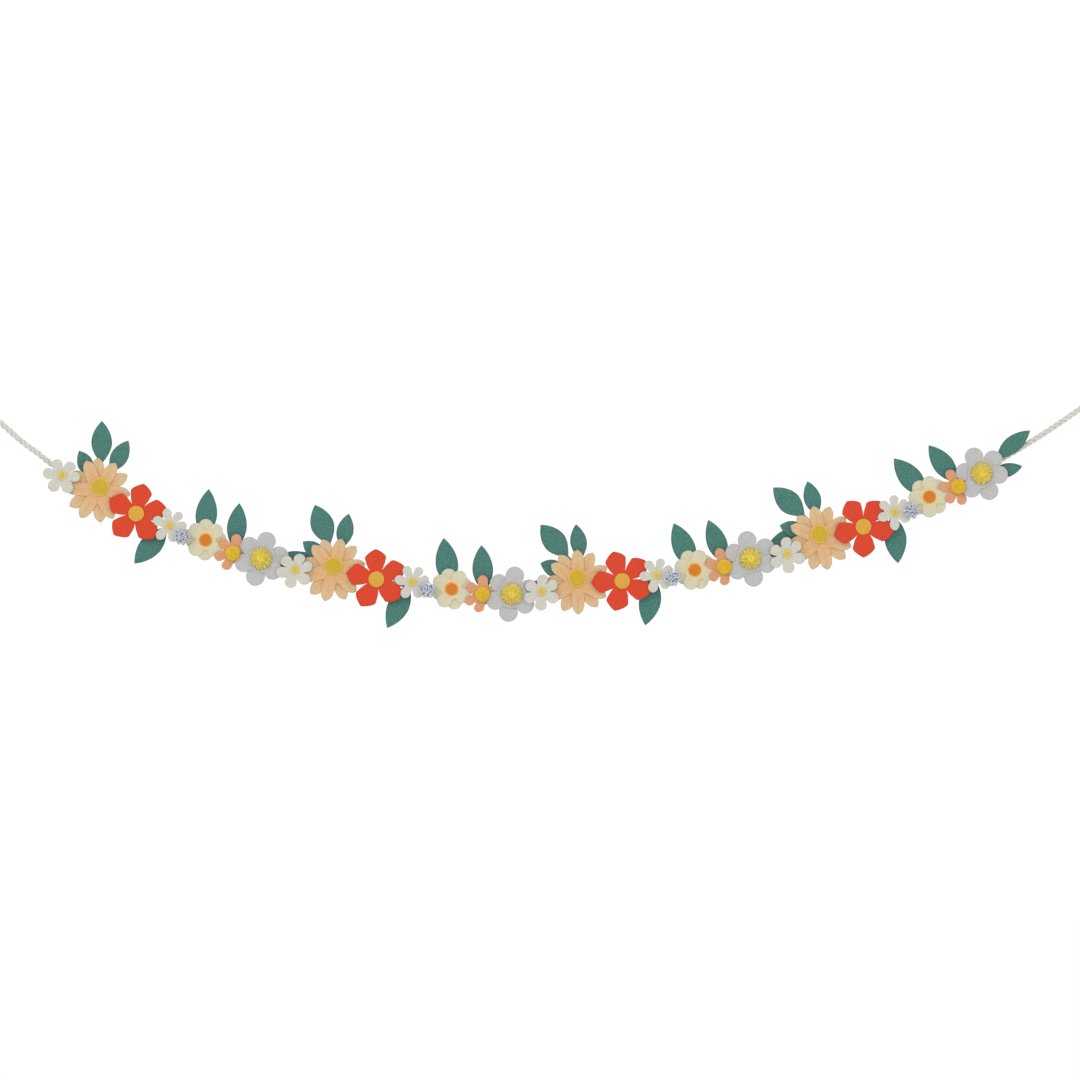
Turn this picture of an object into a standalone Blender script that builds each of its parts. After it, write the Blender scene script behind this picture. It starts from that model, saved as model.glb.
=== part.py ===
"""Felt flower garland: felt blooms and leaves on a cotton cord with a tied loop at each end.

The frame has +X to the right along the garland, +Z up and the blooms facing -Y, with the
origin in the middle of the left hanging loop. Sizes in the tables are millimetres.
"""

from collections import namedtuple
from math import asin, atan2, cos, pi, radians, sin, sqrt

import bmesh
import bpy
from mathutils import Matrix, Vector
from mathutils.geometry import intersect_line_line_2d

MM = 0.001

# Driving dimensions.
FELT = 1.2
CORD_DIAMETER = 6.0
CORD_STEP = 15.0
CORD_SIDES = 2
LOOP_RADIUS = 11.0
LOOP_CORD = 5.6
LOOP_STEPS = 16
KNOT_RADIUS = 6.6
KNOT_DISTANCE = 17.5
TAIL_LENGTH = 15.0
TAIL_CORD = 4.8
LEFT_LOOP = (0.0, 0.0)
RIGHT_LOOP = (1145.5, 9.5)

# How far the leaves' felt stands in front of the cord's centre line, and a sprig's disc and stems.
LEAF_HEIGHT = 4.4
LEAF_HUB = 12.0
LEAF_STEM = 5.0
HUB_STEPS = 7

# The cord's route between the two knots, as x and z from the left loop.
CORD_ROUTE = (
    (19.5, -14.8), (34.0, -27.0), (54.0, -44.7), (70.6, -57.0), (85.0, -68.2), (109.0, -84.0),
    (136.0, -98.5), (171.0, -115.5), (204.0, -130.0), (239.0, -143.5), (274.0, -155.0),
    (309.0, -165.0), (344.0, -173.5), (379.0, -180.0), (414.0, -185.5), (449.0, -190.0),
    (484.0, -193.5), (519.0, -195.8), (554.0, -196.5), (589.0, -195.5), (624.0, -193.0),
    (659.0, -189.0), (694.0, -183.5), (729.0, -176.8), (764.0, -169.0), (799.0, -160.0),
    (834.0, -149.5), (869.0, -138.0), (904.0, -125.0), (939.0, -110.5), (974.0, -95.0),
    (1006.0, -79.0), (1036.0, -63.2), (1062.0, -48.0), (1087.0, -32.0), (1109.0, -17.0),
    (1125.9, -5.0),
)

# petals: how many; reach: middle to tip; lobe: radius of a petal's round end;
# notch: middle to the cut between petals; steps: points from a petal's axis to its notch;
# height: how far the felt stands in front of the cord's centre line; inner: middle to where
# the petals start to bend; tips: how far the tips bend forward, in turn; swings: how far each
# petal is turned from its even place, in degrees.
Bloom = namedtuple("Bloom", "petals reach lobe notch steps height inner tips swings")
BLOOMS = {
    "white_daisy": Bloom(6, 17.8, 5.5, 7.2, 3, 12.2, 6.4, (0.5, 0.2, 0.4), (-1, -5, -1, -9, -3, 4)),
    "peach_daisy": Bloom(12, 32.6, 0.0, 22.0, 2, 6.7, 14.6, (1.6, -0.3),
                         (-4, 2, 0, 4, -5, -5, -4, 2, 0, 7, 0, -2)),
    "red_bloom": Bloom(5, 30.4, 0.0, 10.4, 4, 10.2, 10.6, (0.5, 0.2), (2, -4, -3, -1, 6)),
    "small_daisy": Bloom(6, 17.0, 4.7, 6.6, 3, 12.1, 5.6, (0.3, 0.1), (14, 2, -3, -8, -5, 0)),
    "cream_bloom": Bloom(8, 20.8, 7.6, 15.0, 2, 6.3, 8.2, (-0.3, 0.5), (4, -4, -1, 0, 7, -3, -3, 0)),
    "coral_bloom": Bloom(6, 18.6, 5.1, 8.2, 3, 8.3, 7.0, (0.0,), (-4, 2, 1, 0, -10, -3)),
    "grey_bloom": Bloom(6, 27.6, 9.3, 15.4, 4, 10.1, 12.8, (-0.2, 0.4), (-4, 0, 0, 3, -1, 0)),
}

# Petals with a pointed end: share of the half sector from the axis, share of the reach.
POINTED = {
    "peach_daisy": ((0.0, 1.0), (0.5, 0.90), (1.0, 0.68)),
    "red_bloom": ((0.0, 1.0), (0.36, 0.90), (0.72, 0.79), (0.89, 0.60), (1.0, 0.34)),
}

# Felt disc or stitched dot joined to its bloom: radius, rise above the felt, narrowing of the
# front, number of sides, and the middle's offset from the petals' centre.
Middle = namedtuple("Middle", "radius rise narrowing sides x z")
MIDDLES = {
    "white_daisy": Middle(4.8, 1.6, 0.72, 10, 1.2, 1.0),
    "peach_daisy": Middle(9.3, 2.0, 0.94, 18, 1.6, 3.7),
    "red_bloom": Middle(8.2, 1.4, 0.94, 16, 0.0, 0.0),
    "small_daisy": Middle(4.3, 1.5, 0.72, 10, 0.0, 0.0),
    "cream_bloom": Middle(6.0, 1.4, 0.94, 14, 0.0, 0.0),
    "coral_bloom": Middle(4.0, 2.1, 1.0, 10, 0.0, 0.0),
}

# Yarn and thread balls that stand on a bloom: radius, thickness, height of the flat back.
Ball = namedtuple("Ball", "radius depth back sides rows")
BALLS = {
    "lilac_tuft": Ball(7.7, 8.0, 13.4, 12, 6),
    "coral_button": Ball(7.2, 6.0, 11.5, 14, 6),
    "grey_pompom": Ball(10.6, 9.5, 11.25, 16, 8),
}

# Every piece's middle as x and z, and how far it is turned in degrees.
Place = namedtuple("Place", "x z turn")
PLACES = {
    "white_daisy": ((95.3, -80.3, -6), (328.4, -174.7, 11), (575.0, -196.8, 29), (820.4, -159.4, 39)),
    "peach_daisy": ((132.0, -94.4, -3), (367.2, -174.0, 15), (611.8, -185.9, 31), (854.8, -142.0, 43)),
    "red_bloom": ((170.4, -117.6, 9), (410.5, -183.2, 25), (656.2, -184.9, 41), (897.2, -130.7, 56)),
    "small_daisy": ((204.0, -129.6, -15), (446.4, -186.2, -3), (690.9, -179.1, 12), (928.3, -116.1, 30)),
    "cream_bloom": ((239.4, -144.0, 0), (485.6, -193.0, 14), (728.8, -173.9, 30), (963.6, -100.8, 48)),
    "coral_bloom": ((267.1, -157.0, 13), (516.6, -198.4, 26), (758.1, -170.8, 44), (991.9, -90.6, 58)),
    "grey_bloom": ((295.3, -162.6, 13), (545.8, -198.0, 21), (784.4, -162.6, 40), (1015.5, -77.6, 53)),
    "lilac_tuft": ((216.4, -140.8, 0), (461.2, -194.0, 20), (706.4, -181.7, 35), (944.7, -114.8, 50)),
    "coral_button": ((267.1, -157.0, 0), (516.6, -198.4, 20), (758.1, -170.8, 35), (991.9, -90.6, 50)),
    "grey_pompom": ((295.3, -162.6, 0), (545.6, -197.8, 20), (784.1, -162.3, 35), (1015.5, -77.4, 50)),
}

# Single leaves: tip x and z, direction that the tip points in, length and width.
Leaf = namedtuple("Leaf", "x z aim length width")
LEAVES = {
    "red_leaf": ((168.0, -167.6, 228, 48, 21.6), (421.0, -232.2, 242, 48, 21.6),
                 (679.4, -229.5, 259, 48, 21.8), (932.4, -167.3, 276, 48, 22.0)),
    "cream_leaf": ((242.6, -92.9, 84.2, 50, 21.4), (477.6, -141.9, 97, 50, 22.4),
                   (707.9, -127.1, 113, 50, 22.4), (928.1, -62.4, 131, 50, 22.6)),
    "coral_leaf": ((273.1, -107.0, 84, 47, 19.6), (515.4, -149.0, 93, 47, 20.6),
                   (742.4, -123.9, 111, 47, 20.4), (963.0, -49.2, 129, 47, 20.4)),
}

# Leaves cut as one sprig: direction of the tip from the sprig's middle and its distance, how far
# the leaf leans from that direction, its length and its width. Leaves that meet are cut as one.
SprigLeaf = namedtuple("SprigLeaf", "aim reach lean length width")
DAISY_SPRIGS = (
    ((59.0, 53.5, 0, 35, 17.4), (89.1, 66.2, 0, 42, 20.3),
     (120.9, 42.4, -5, 27, 15.5), (166.0, 48.0, 0, 30, 11.6)),
    ((77.2, 53.6, 0, 35, 16.8), (110.2, 65.2, 0, 42, 23.4),
     (144.1, 42.1, -2, 27, 15.5), (164.6, 50.9, 0, 33, 15.6)),
    ((97.3, 51.9, 0, 35, 16.6), (129.5, 66.5, 0, 42, 23.0),
     (163.2, 44.7, -9, 27, 15.5), (188.5, 47.0, 0, 31, 15.5)),
    ((105.9, 52.9, 0, 35, 17.0), (138.1, 66.1, 0, 42, 23.0),
     (171.5, 42.9, -8, 27, 15.5), (190.0, 51.5, 0, 33, 15.2)),
)
END_SPRIG = ((14.5, 45.2, 0, 32, 14.0), (42.5, 69.8, 0, 43, 16.6))
SPRIG_PLACES = ((134.8, -91.2), (371.3, -170.0), (617.5, -179.5), (856.2, -136.0))
END_SPRIG_PLACE = (1013.0, -81.5)

# Half a leaf's outline: share of the length from the base, share of the half width.
LEAF_PROFILE = ((0.0, 0.16), (0.14, 0.62), (0.42, 1.0), (0.66, 0.86), (0.85, 0.48))

# Colour as linear RGB and roughness.
FINISHES = {
    "cord": ((0.68, 0.62, 0.52), 0.90),
    "loop": ((0.68, 0.62, 0.52), 0.90),
    "leaf": ((0.050, 0.180, 0.140), 0.95),
    "white_daisy": ((0.72, 0.70, 0.66), 0.95),
    "peach_daisy": ((0.74, 0.44, 0.24), 0.95),
    "red_bloom": ((0.74, 0.055, 0.024), 0.95),
    "small_daisy": ((0.72, 0.70, 0.66), 0.95),
    "cream_bloom": ((0.74, 0.70, 0.46), 0.95),
    "coral_bloom": ((0.84, 0.33, 0.19), 0.95),
    "grey_bloom": ((0.50, 0.51, 0.54), 0.95),
    "lilac_tuft": ((0.46, 0.49, 0.64), 0.90),
    "coral_button": ((0.78, 0.50, 0.03), 0.85),
    "grey_pompom": ((0.79, 0.60, 0.07), 0.90),
}


def clear_scene():
    for obj in list(bpy.data.objects):
        bpy.data.objects.remove(obj, do_unlink=True)


def make_collection(name):
    collection = bpy.data.collections.new(name)
    bpy.context.scene.collection.children.link(collection)
    return collection


def make_material(name):
    colour, roughness = FINISHES[name]
    material = bpy.data.materials.new(name + "_finish")
    material.use_nodes = True
    shader = material.node_tree.nodes["Principled BSDF"]
    shader.inputs["Base Color"].default_value = (*colour, 1.0)
    shader.inputs["Roughness"].default_value = roughness
    shader.inputs["Metallic"].default_value = 0.0
    return material


def add_mesh(name, mesh, collection, material):
    """Puts a mesh in the scene as one piece."""
    obj = bpy.data.objects.new(name, mesh)
    mesh.materials.append(material)
    collection.objects.link(obj)
    return obj


def mesh_from(name, shape):
    mesh = bpy.data.meshes.new(name)
    shape.to_mesh(mesh)
    shape.free()
    return mesh


def facing_front(x, z, height, turn=0.0):
    """Matrix that lays a flat piece's own +Z toward -Y, at a height in front of the cord."""
    spot = Matrix.Translation((x * MM, -height * MM, z * MM))
    upright = Matrix.Rotation(pi / 2, 4, "X")
    return spot @ upright @ Matrix.Rotation(radians(turn), 4, "Z")


def smooth_route(points, step):
    """Points about a step apart on a smooth curve through the given points."""
    first = 2 * Vector(points[0]) - Vector(points[1])
    last = 2 * Vector(points[-1]) - Vector(points[-2])
    knots = [first, *map(Vector, points), last]
    route = []
    for before, start, end, after in zip(knots, knots[1:], knots[2:], knots[3:]):
        pieces = max(1, round((end - start).length / step))
        for index in range(pieces):
            t = index / pieces
            bend = 2 * before - 5 * start + 4 * end - after
            twist = 3 * start - before - 3 * end + after
            route.append(0.5 * (2 * start + (end - before) * t + bend * t * t + twist * t**3))
    route.append(Vector(points[-1]))
    return route


def make_tube(name, points, diameter, cyclic=False):
    """Tube along points in the garland's plane, as a curve object."""
    curve = bpy.data.curves.new(name, "CURVE")
    curve.dimensions = "3D"
    curve.bevel_depth = diameter / 2 * MM
    curve.bevel_resolution = CORD_SIDES
    curve.use_fill_caps = not cyclic
    spline = curve.splines.new("POLY")
    spline.points.add(len(points) - 1)
    for spot, (x, z) in zip(spline.points, points):
        spot.co = (x * MM, 0.0, z * MM, 1.0)
    spline.use_cyclic_u = cyclic
    return bpy.data.objects.new(name, curve)


def tube_as_mesh(tube, collection):
    """Turns a tube into a closed mesh that a Boolean can take."""
    collection.objects.link(tube)
    bpy.context.view_layer.update()
    evaluated = tube.evaluated_get(bpy.context.evaluated_depsgraph_get())
    mesh = bpy.data.meshes.new_from_object(evaluated)
    shape = bmesh.new()
    shape.from_mesh(mesh)
    bmesh.ops.remove_doubles(shape, verts=shape.verts, dist=0.01 * MM)
    bmesh.ops.recalc_face_normals(shape, faces=shape.faces)
    shape.to_mesh(mesh)
    shape.free()
    name = tube.name
    bpy.data.objects.remove(tube)
    piece = bpy.data.objects.new(name, mesh)
    collection.objects.link(piece)
    return piece


def make_helper(obj):
    obj.hide_render = True
    obj.display_type = "WIRE"


def add_union(obj, other):
    modifier = obj.modifiers.new("join_" + other.name, "BOOLEAN")
    modifier.operation = "UNION"
    modifier.solver = "EXACT"
    modifier.object = other


def make_cord(collection, material):
    cord = make_tube("cord", smooth_route(CORD_ROUTE, CORD_STEP), CORD_DIAMETER)
    cord.data.materials.append(material)
    collection.objects.link(cord)


def make_loop(name, middle, toward, collection, helpers, material):
    """Hanging loop with its knot and a short free end, one joined piece."""
    heading = (Vector(toward) - Vector(middle)).normalized()
    centre = Vector(middle)
    knot_spot = centre + heading * KNOT_DISTANCE
    shape = bmesh.new()
    bmesh.ops.create_uvsphere(shape, u_segments=12, v_segments=8, radius=KNOT_RADIUS * MM)
    knot = add_mesh(name, mesh_from(name, shape), collection, material)
    knot.location = (knot_spot.x * MM, 0.0, knot_spot.y * MM)

    ring_points = []
    for index in range(LOOP_STEPS):
        angle = 2 * pi * (index + 0.5) / LOOP_STEPS
        ring_points.append((centre.x + LOOP_RADIUS * cos(angle), centre.y + LOOP_RADIUS * sin(angle)))
    ring = tube_as_mesh(make_tube(name + "_ring", ring_points, LOOP_CORD, cyclic=True), helpers)
    tail_points = [knot_spot, knot_spot + Vector((0.0, -TAIL_LENGTH))]
    tail = tube_as_mesh(make_tube(name + "_tail", tail_points, TAIL_CORD), helpers)
    for helper in (ring, tail):
        make_helper(helper)
        add_union(knot, helper)


def round_petal(bloom):
    """A round-ended petal's outline: share of the half sector, share of the reach."""
    centre = bloom.reach - bloom.lobe
    sector = pi / bloom.petals
    widest = asin(bloom.lobe / centre) * 0.98
    last = min(widest, sector * 0.9)
    rows = []
    for index in range(bloom.steps):
        angle = last * index / (bloom.steps - 1)
        radius = centre * cos(angle) + sqrt(bloom.lobe**2 - (centre * sin(angle)) ** 2)
        rows.append((angle / sector, radius / bloom.reach))
    rows.append((1.0, bloom.notch / bloom.reach))
    return rows


def petal_edges(kind, bloom):
    """For each petal, the points of its edge from one notch to the next, middle at zero."""
    half = POINTED.get(kind) or round_petal(bloom)
    sides = [(-share, far) for share, far in half[:0:-1]] + list(half)
    sector = pi / bloom.petals
    swings = [radians(swing) for swing in bloom.swings]
    edges = []
    for petal in range(bloom.petals):
        before = (swings[petal - 1] + swings[petal]) / 2
        after = (swings[petal] + swings[(petal + 1) % bloom.petals]) / 2
        tip = bloom.tips[petal % len(bloom.tips)]
        edge = []
        for share, far in sides:
            turned = swings[petal] + (after - swings[petal]) * max(share, 0.0) ** 3
            turned += (before - swings[petal]) * max(-share, 0.0) ** 3
            angle = (2 * petal + share) * sector + turned
            uneven = 1 + 0.015 * sin(2.4 * petal + 1.0) * (1 - abs(share))
            radius = bloom.reach * far * uneven
            bend = tip * (radius - bloom.inner) / (bloom.reach - bloom.inner)
            edge.append(Vector((radius * cos(angle), radius * sin(angle), bend * (1 - abs(share)))))
        edges.append(edge)
    return edges


def make_bloom(kind, name, place, collection, helpers, material):
    """One felt bloom: a flat middle whose corners fan out to each petal's edge."""
    bloom = BLOOMS[kind]
    edges = petal_edges(kind, bloom)
    shape = bmesh.new()
    corners = []
    for petal, swing in enumerate(bloom.swings):
        angle = 2 * pi * petal / bloom.petals + radians(swing)
        corners.append(shape.verts.new(bloom.inner * MM * Vector((cos(angle), sin(angle), 0.0))))
    shape.faces.new(corners)
    first = [[shape.verts.new(spot * MM) for spot in edge[:-1]] for edge in edges]
    for petal, corner in enumerate(corners):
        after = (petal + 1) % bloom.petals
        rim = [*first[petal], first[after][0]]
        for start, end in zip(rim, rim[1:]):
            shape.faces.new((corner, start, end))
        shape.faces.new((corner, rim[-1], corners[after]))
    piece = add_mesh(name, mesh_from(name, shape), collection, material)
    piece.matrix_world = facing_front(place.x, place.z, bloom.height, place.turn)
    felt = piece.modifiers.new("felt", "SOLIDIFY")
    felt.thickness = FELT * MM
    felt.offset = 0.0
    if kind in MIDDLES:
        join_middle(piece, MIDDLES[kind], helpers)


def join_middle(piece, middle, helpers):
    """Joins a felt disc or a stitched dot to the front of a bloom."""
    shape = bmesh.new()
    sunk = FELT / 4
    depth = middle.rise + FELT / 2 + sunk
    bmesh.ops.create_cone(
        shape, cap_ends=True, segments=middle.sides, depth=depth * MM,
        radius1=middle.radius * MM, radius2=middle.radius * middle.narrowing * MM)
    disc = bpy.data.objects.new(piece.name + "_middle", mesh_from(piece.name + "_middle", shape))
    helpers.objects.link(disc)
    spot = Matrix.Translation((middle.x * MM, middle.z * MM, (depth / 2 - sunk) * MM))
    disc.matrix_world = piece.matrix_world @ spot
    make_helper(disc)
    add_union(piece, disc)


def make_ball(kind, name, place, collection, material):
    """Yarn tuft, thread button or pompom: a ball with a flat back."""
    ball = BALLS[kind]
    shape = bmesh.new()
    bmesh.ops.create_uvsphere(shape, u_segments=ball.sides, v_segments=ball.rows, radius=1.0)
    for spot in shape.verts:
        side = ball.radius * MM
        front = spot.co.z * ball.depth * MM if spot.co.z > 0 else spot.co.z * 0.02 * ball.radius * MM
        spot.co = Vector((spot.co.x * side, spot.co.y * side, front))
    piece = add_mesh(name, mesh_from(name, shape), collection, material)
    piece.data.shade_smooth()
    piece.matrix_world = facing_front(place.x, place.z, ball.back, place.turn)


def leaf_sides(tip, aim, length, width):
    """A leaf's edge from its base's right side, round the tip, to its base's left side."""
    along = Vector((cos(radians(aim)), sin(radians(aim))))
    across = Vector((along.y, -along.x))
    base = Vector(tip) - along * length
    right = [base + along * length * far + across * width / 2 * wide for far, wide in LEAF_PROFILE]
    left = [base + along * length * far - across * width / 2 * wide for far, wide in LEAF_PROFILE]
    return [*right, Vector(tip), *reversed(left)]


def make_plate(name, outline, collection, material):
    """Flat felt piece cut to an outline in the garland's plane."""
    curve = bpy.data.curves.new(name, "CURVE")
    curve.dimensions = "2D"
    curve.fill_mode = "BOTH"
    curve.extrude = FELT / 2 * MM
    spline = curve.splines.new("POLY")
    spline.points.add(len(outline) - 1)
    for spot, (x, z) in zip(spline.points, outline):
        spot.co = (x * MM, z * MM, 0.0, 1.0)
    spline.use_cyclic_u = True
    curve.materials.append(material)
    piece = bpy.data.objects.new(name, curve)
    collection.objects.link(piece)
    piece.matrix_world = facing_front(0.0, 0.0, LEAF_HEIGHT)


def make_sprig(name, place, leaves, collection, material):
    """Leaves on short stems that run out from one small felt disc."""
    middle = Vector(place)
    spread = asin(LEAF_STEM / 2 / LEAF_HUB)
    outline = []
    stems = []
    for leaf in leaves:
        tip = leaf.reach * Vector((cos(radians(leaf.aim)), sin(radians(leaf.aim))))
        own = radians(leaf.aim + leaf.lean)
        base = tip - leaf.length * Vector((cos(own), sin(own)))
        stem = atan2(base.y, base.x) % (2 * pi)
        stems.append(stem)
        sides = leaf_sides(middle + tip, leaf.aim + leaf.lean, leaf.length, leaf.width)
        edge = [hub_edge(middle, stem - spread), *sides, hub_edge(middle, stem + spread)]
        outline = join_edges(outline, edge)
    start = stems[-1] + spread
    end = stems[0] - spread + 2 * pi
    for index in range(1, HUB_STEPS):
        outline.append(hub_edge(middle, start + (end - start) * index / HUB_STEPS))
    make_plate(name, outline, collection, material)


def join_edges(before, after):
    """Two leaves' edges in a row, cut back to the point where they cross if they do."""
    for turn in range(len(LEAF_PROFILE) + 1, 0, -1):
        for step in range(len(LEAF_PROFILE) + 1):
            if turn > len(before) - 1:
                continue
            low, high = len(before) - turn - 1, len(before) - turn
            spot = intersect_line_line_2d(before[low], before[high], after[step], after[step + 1])
            if spot:
                return [*before[:high], spot, *after[step + 1:]]
    return [*before, *after]


def hub_edge(middle, angle):
    return middle + LEAF_HUB * Vector((cos(angle), sin(angle)))


def main():
    clear_scene()
    garland = make_collection("felt_flower_garland")
    helpers = make_collection("joined_shapes")
    materials = {name: make_material(name) for name in FINISHES}

    make_cord(garland, materials["cord"])
    make_loop("left_loop", LEFT_LOOP, CORD_ROUTE[0], garland, helpers, materials["loop"])
    make_loop("right_loop", RIGHT_LOOP, CORD_ROUTE[-1], garland, helpers, materials["loop"])

    for kind in BLOOMS:
        for number, row in enumerate(PLACES[kind], 1):
            make_bloom(kind, f"{kind}_{number}", Place(*row), garland, helpers, materials[kind])
    for kind in BALLS:
        for number, row in enumerate(PLACES[kind], 1):
            make_ball(kind, f"{kind}_{number}", Place(*row), garland, materials[kind])
    for kind, rows in LEAVES.items():
        for number, row in enumerate(rows, 1):
            leaf = Leaf(*row)
            outline = leaf_sides((leaf.x, leaf.z), leaf.aim, leaf.length, leaf.width)
            make_plate(f"{kind}_{number}", outline, garland, materials["leaf"])
    for number, (place, rows) in enumerate(zip(SPRIG_PLACES, DAISY_SPRIGS), 1):
        sprig = [SprigLeaf(*row) for row in rows]
        make_sprig(f"daisy_sprig_{number}", place, sprig, garland, materials["leaf"])
    end_sprig = [SprigLeaf(*row) for row in END_SPRIG]
    make_sprig("end_sprig", END_SPRIG_PLACE, end_sprig, garland, materials["leaf"])


main()
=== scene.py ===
"""Felt flower garland: felt blooms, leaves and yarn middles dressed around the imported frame.

The frame has +X to the right along the garland, +Z up and the blooms facing -Y. Sizes in the
tables and in the dataclass fields are millimetres; meshes are made in metres.
"""

import logging
from collections.abc import Callable, Sequence
from dataclasses import dataclass
from enum import Enum
from functools import cache
from itertools import accumulate
from math import acos, asin, cos, exp, hypot, pi, radians, sin, sqrt
from random import Random
from typing import Protocol

import bmesh
import bpy
from mathutils import Matrix, Vector, noise


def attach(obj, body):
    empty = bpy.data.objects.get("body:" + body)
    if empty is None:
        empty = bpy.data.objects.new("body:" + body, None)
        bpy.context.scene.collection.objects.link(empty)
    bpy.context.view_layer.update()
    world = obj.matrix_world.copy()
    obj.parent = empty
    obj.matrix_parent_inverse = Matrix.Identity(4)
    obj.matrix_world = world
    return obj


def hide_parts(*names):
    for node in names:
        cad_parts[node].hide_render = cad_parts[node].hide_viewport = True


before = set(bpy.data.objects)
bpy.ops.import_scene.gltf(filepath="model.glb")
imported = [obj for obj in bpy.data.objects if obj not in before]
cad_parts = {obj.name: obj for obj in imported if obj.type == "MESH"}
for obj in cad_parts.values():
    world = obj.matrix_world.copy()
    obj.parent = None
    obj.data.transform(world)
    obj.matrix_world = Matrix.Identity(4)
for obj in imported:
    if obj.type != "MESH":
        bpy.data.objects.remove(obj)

log = logging.getLogger("garland")

MM = 0.001
BODY = "root"
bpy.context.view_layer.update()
# Vertex attribute of painted shade: 1 keeps a felt's own colour, 0 gives it the full painted shade tint.
PAINTED_SHADE = "painted_shade"
WHITE_LIGHT = (1.0, 1.0, 1.0, 1.0)

Point = tuple[float, float]
Colour = tuple[float, float, float]
Shape = bmesh.types.BMesh
Corner = bmesh.types.BMVert
Piece = bpy.types.Object
Socket = bpy.types.NodeSocket
Node = bpy.types.Node
Material = bpy.types.Material


# ---------------------------------------------------------------- placing and mesh making


class Slot(Enum):
    """The record's material slots."""

    CORD = "cord"
    WHITE = "white_felt"
    PEACH = "peach_felt"
    RED = "red_felt"
    CREAM = "cream_felt"
    CORAL = "coral_felt"
    GREY = "grey_felt"
    GREEN = "green_felt"
    LILAC = "lilac_yarn"
    DOME = "yellow_thread"
    POMPOM = "yellow_yarn"


@dataclass(frozen=True)
class Place:
    """Where a flat piece's middle lies, how far in front of the cord, and its turn in degrees."""

    x: float
    z: float
    height: float
    turn: float = 0.0

    def matrix(self, aside: Point = (0.0, 0.0), forward: float = 0.0) -> Matrix:
        """Matrix that lays a piece's own +Z toward the viewer at this place.

        Args:
            aside: a shift along the piece's own X and Y.
            forward: a shift along its own Z.

        Returns:
            The matrix, in metres.
        """
        spot = Matrix.Translation((self.x * MM, -self.height * MM, self.z * MM))
        facing = Matrix.Rotation(pi / 2, 4, "X") @ Matrix.Rotation(radians(self.turn), 4, "Z")
        return spot @ facing @ Matrix.Translation((aside[0] * MM, aside[1] * MM, forward * MM))


def on_circle(angle: float, radius: float = 1.0) -> Point:
    """A point on a circle round the origin."""
    return radius * cos(angle), radius * sin(angle)


def turned(along: float, aside: float, angle: float) -> Point:
    """A point turned round the origin by an angle."""
    return along * cos(angle) - aside * sin(angle), along * sin(angle) + aside * cos(angle)


def angles_round(count: int) -> list[float]:
    """Angles spread evenly round a circle."""
    return [2 * pi * number / count for number in range(count)]


def ease(value: float) -> float:
    """A smooth step from 0 to 1."""
    value = min(1.0, max(0.0, value))
    return value * value * (3 - 2 * value)


def smooth_line(points: Sequence[Vector], step: float) -> list[Vector]:
    """Points about a step apart on a smooth curve through the given points.

    Args:
        points: the points that the curve passes through, in order.
        step: the distance wanted between neighbouring points.

    Returns:
        The curve's points, both ends included.
    """
    knots = [2 * points[0] - points[1], *points, 2 * points[-1] - points[-2]]
    line: list[Vector] = []
    for before, start, end, after in zip(knots, knots[1:], knots[2:], knots[3:]):
        pieces = max(1, round((end - start).length / step))
        for index in range(pieces):
            t = index / pieces
            bend = 2 * before - 5 * start + 4 * end - after
            twist = 3 * start - before - 3 * end + after
            line.append(0.5 * (2 * start + (end - before) * t + bend * t * t + twist * t**3))
    line.append(points[-1].copy())
    return line


def run_along(line: Sequence[Vector]) -> list[float]:
    """How far along a line each of its points is."""
    return list(accumulate(((end - start).length for start, end in zip(line, line[1:])), initial=0.0))


def frames_along(line: Sequence[Vector], closed: bool = False) -> list[tuple[Vector, Vector, Vector]]:
    """Frames that follow a line without twisting about it.

    Args:
        line: the line's points.
        closed: whether its end joins its start.

    Returns:
        Each point with two directions at right angles to the line and to each other.
    """
    last = len(line) - 1
    across = (line[1] - line[0]).orthogonal().normalized()
    frames = []
    for index, spot in enumerate(line):
        ahead = line[(index + 1) % len(line)] if closed else line[min(index + 1, last)]
        behind = line[index - 1] if closed else line[max(index - 1, 0)]
        along = (ahead - behind).normalized()
        across = (across - along * across.dot(along)).normalized()
        frames.append((spot, across, along.cross(across)))
    return frames


def join_rings(shape: Shape, rings: Sequence[Sequence[Corner]], middle: Corner | None = None) -> None:
    """Adds the faces between neighbouring rings of corners.

    Args:
        shape: the mesh to add to.
        rings: the rings, with the same number of corners each.
        middle: a corner that closes the first ring, if any.
    """
    afters = [*range(1, len(rings[0])), 0]
    for low, high in zip(rings, rings[1:]):
        for at, after in enumerate(afters):
            shape.faces.new((low[at], low[after], high[after], high[at]))
    if middle is not None:
        for at, after in enumerate(afters):
            shape.faces.new((middle, rings[0][after], rings[0][at]))


def skin_tube(shape: Shape, rings: list[list[Corner]], closed: bool = False) -> None:
    """Skins a tube's rings of corners.

    Args:
        shape: the mesh to add to.
        rings: the rings, in order.
        closed: whether the last joins the first; an open tube gets two flat ends.
    """
    join_rings(shape, rings + rings[:1] if closed else rings)
    if not closed:
        shape.faces.new(rings[0])
        shape.faces.new(rings[-1])


def add_tube(shape: Shape, line: Sequence[Vector], radius: float | Callable[[float], float],
             sides: int = 5, closed: bool = False) -> None:
    """Adds a tube along a line.

    Args:
        shape: the mesh to add to.
        line: the tube's centre line.
        radius: its radius, or what gives it at a share of its length.
        sides: how many points go round it.
        closed: whether its end joins its start.
    """
    rings = []
    for index, (spot, across, beside) in enumerate(frames_along(line, closed)):
        thick = radius(index / (len(line) - 1)) if callable(radius) else radius
        rings.append([shape.verts.new(spot + thick * (cos(angle) * across + sin(angle) * beside))
                      for angle in angles_round(sides)])
    skin_tube(shape, rings, closed)


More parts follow.
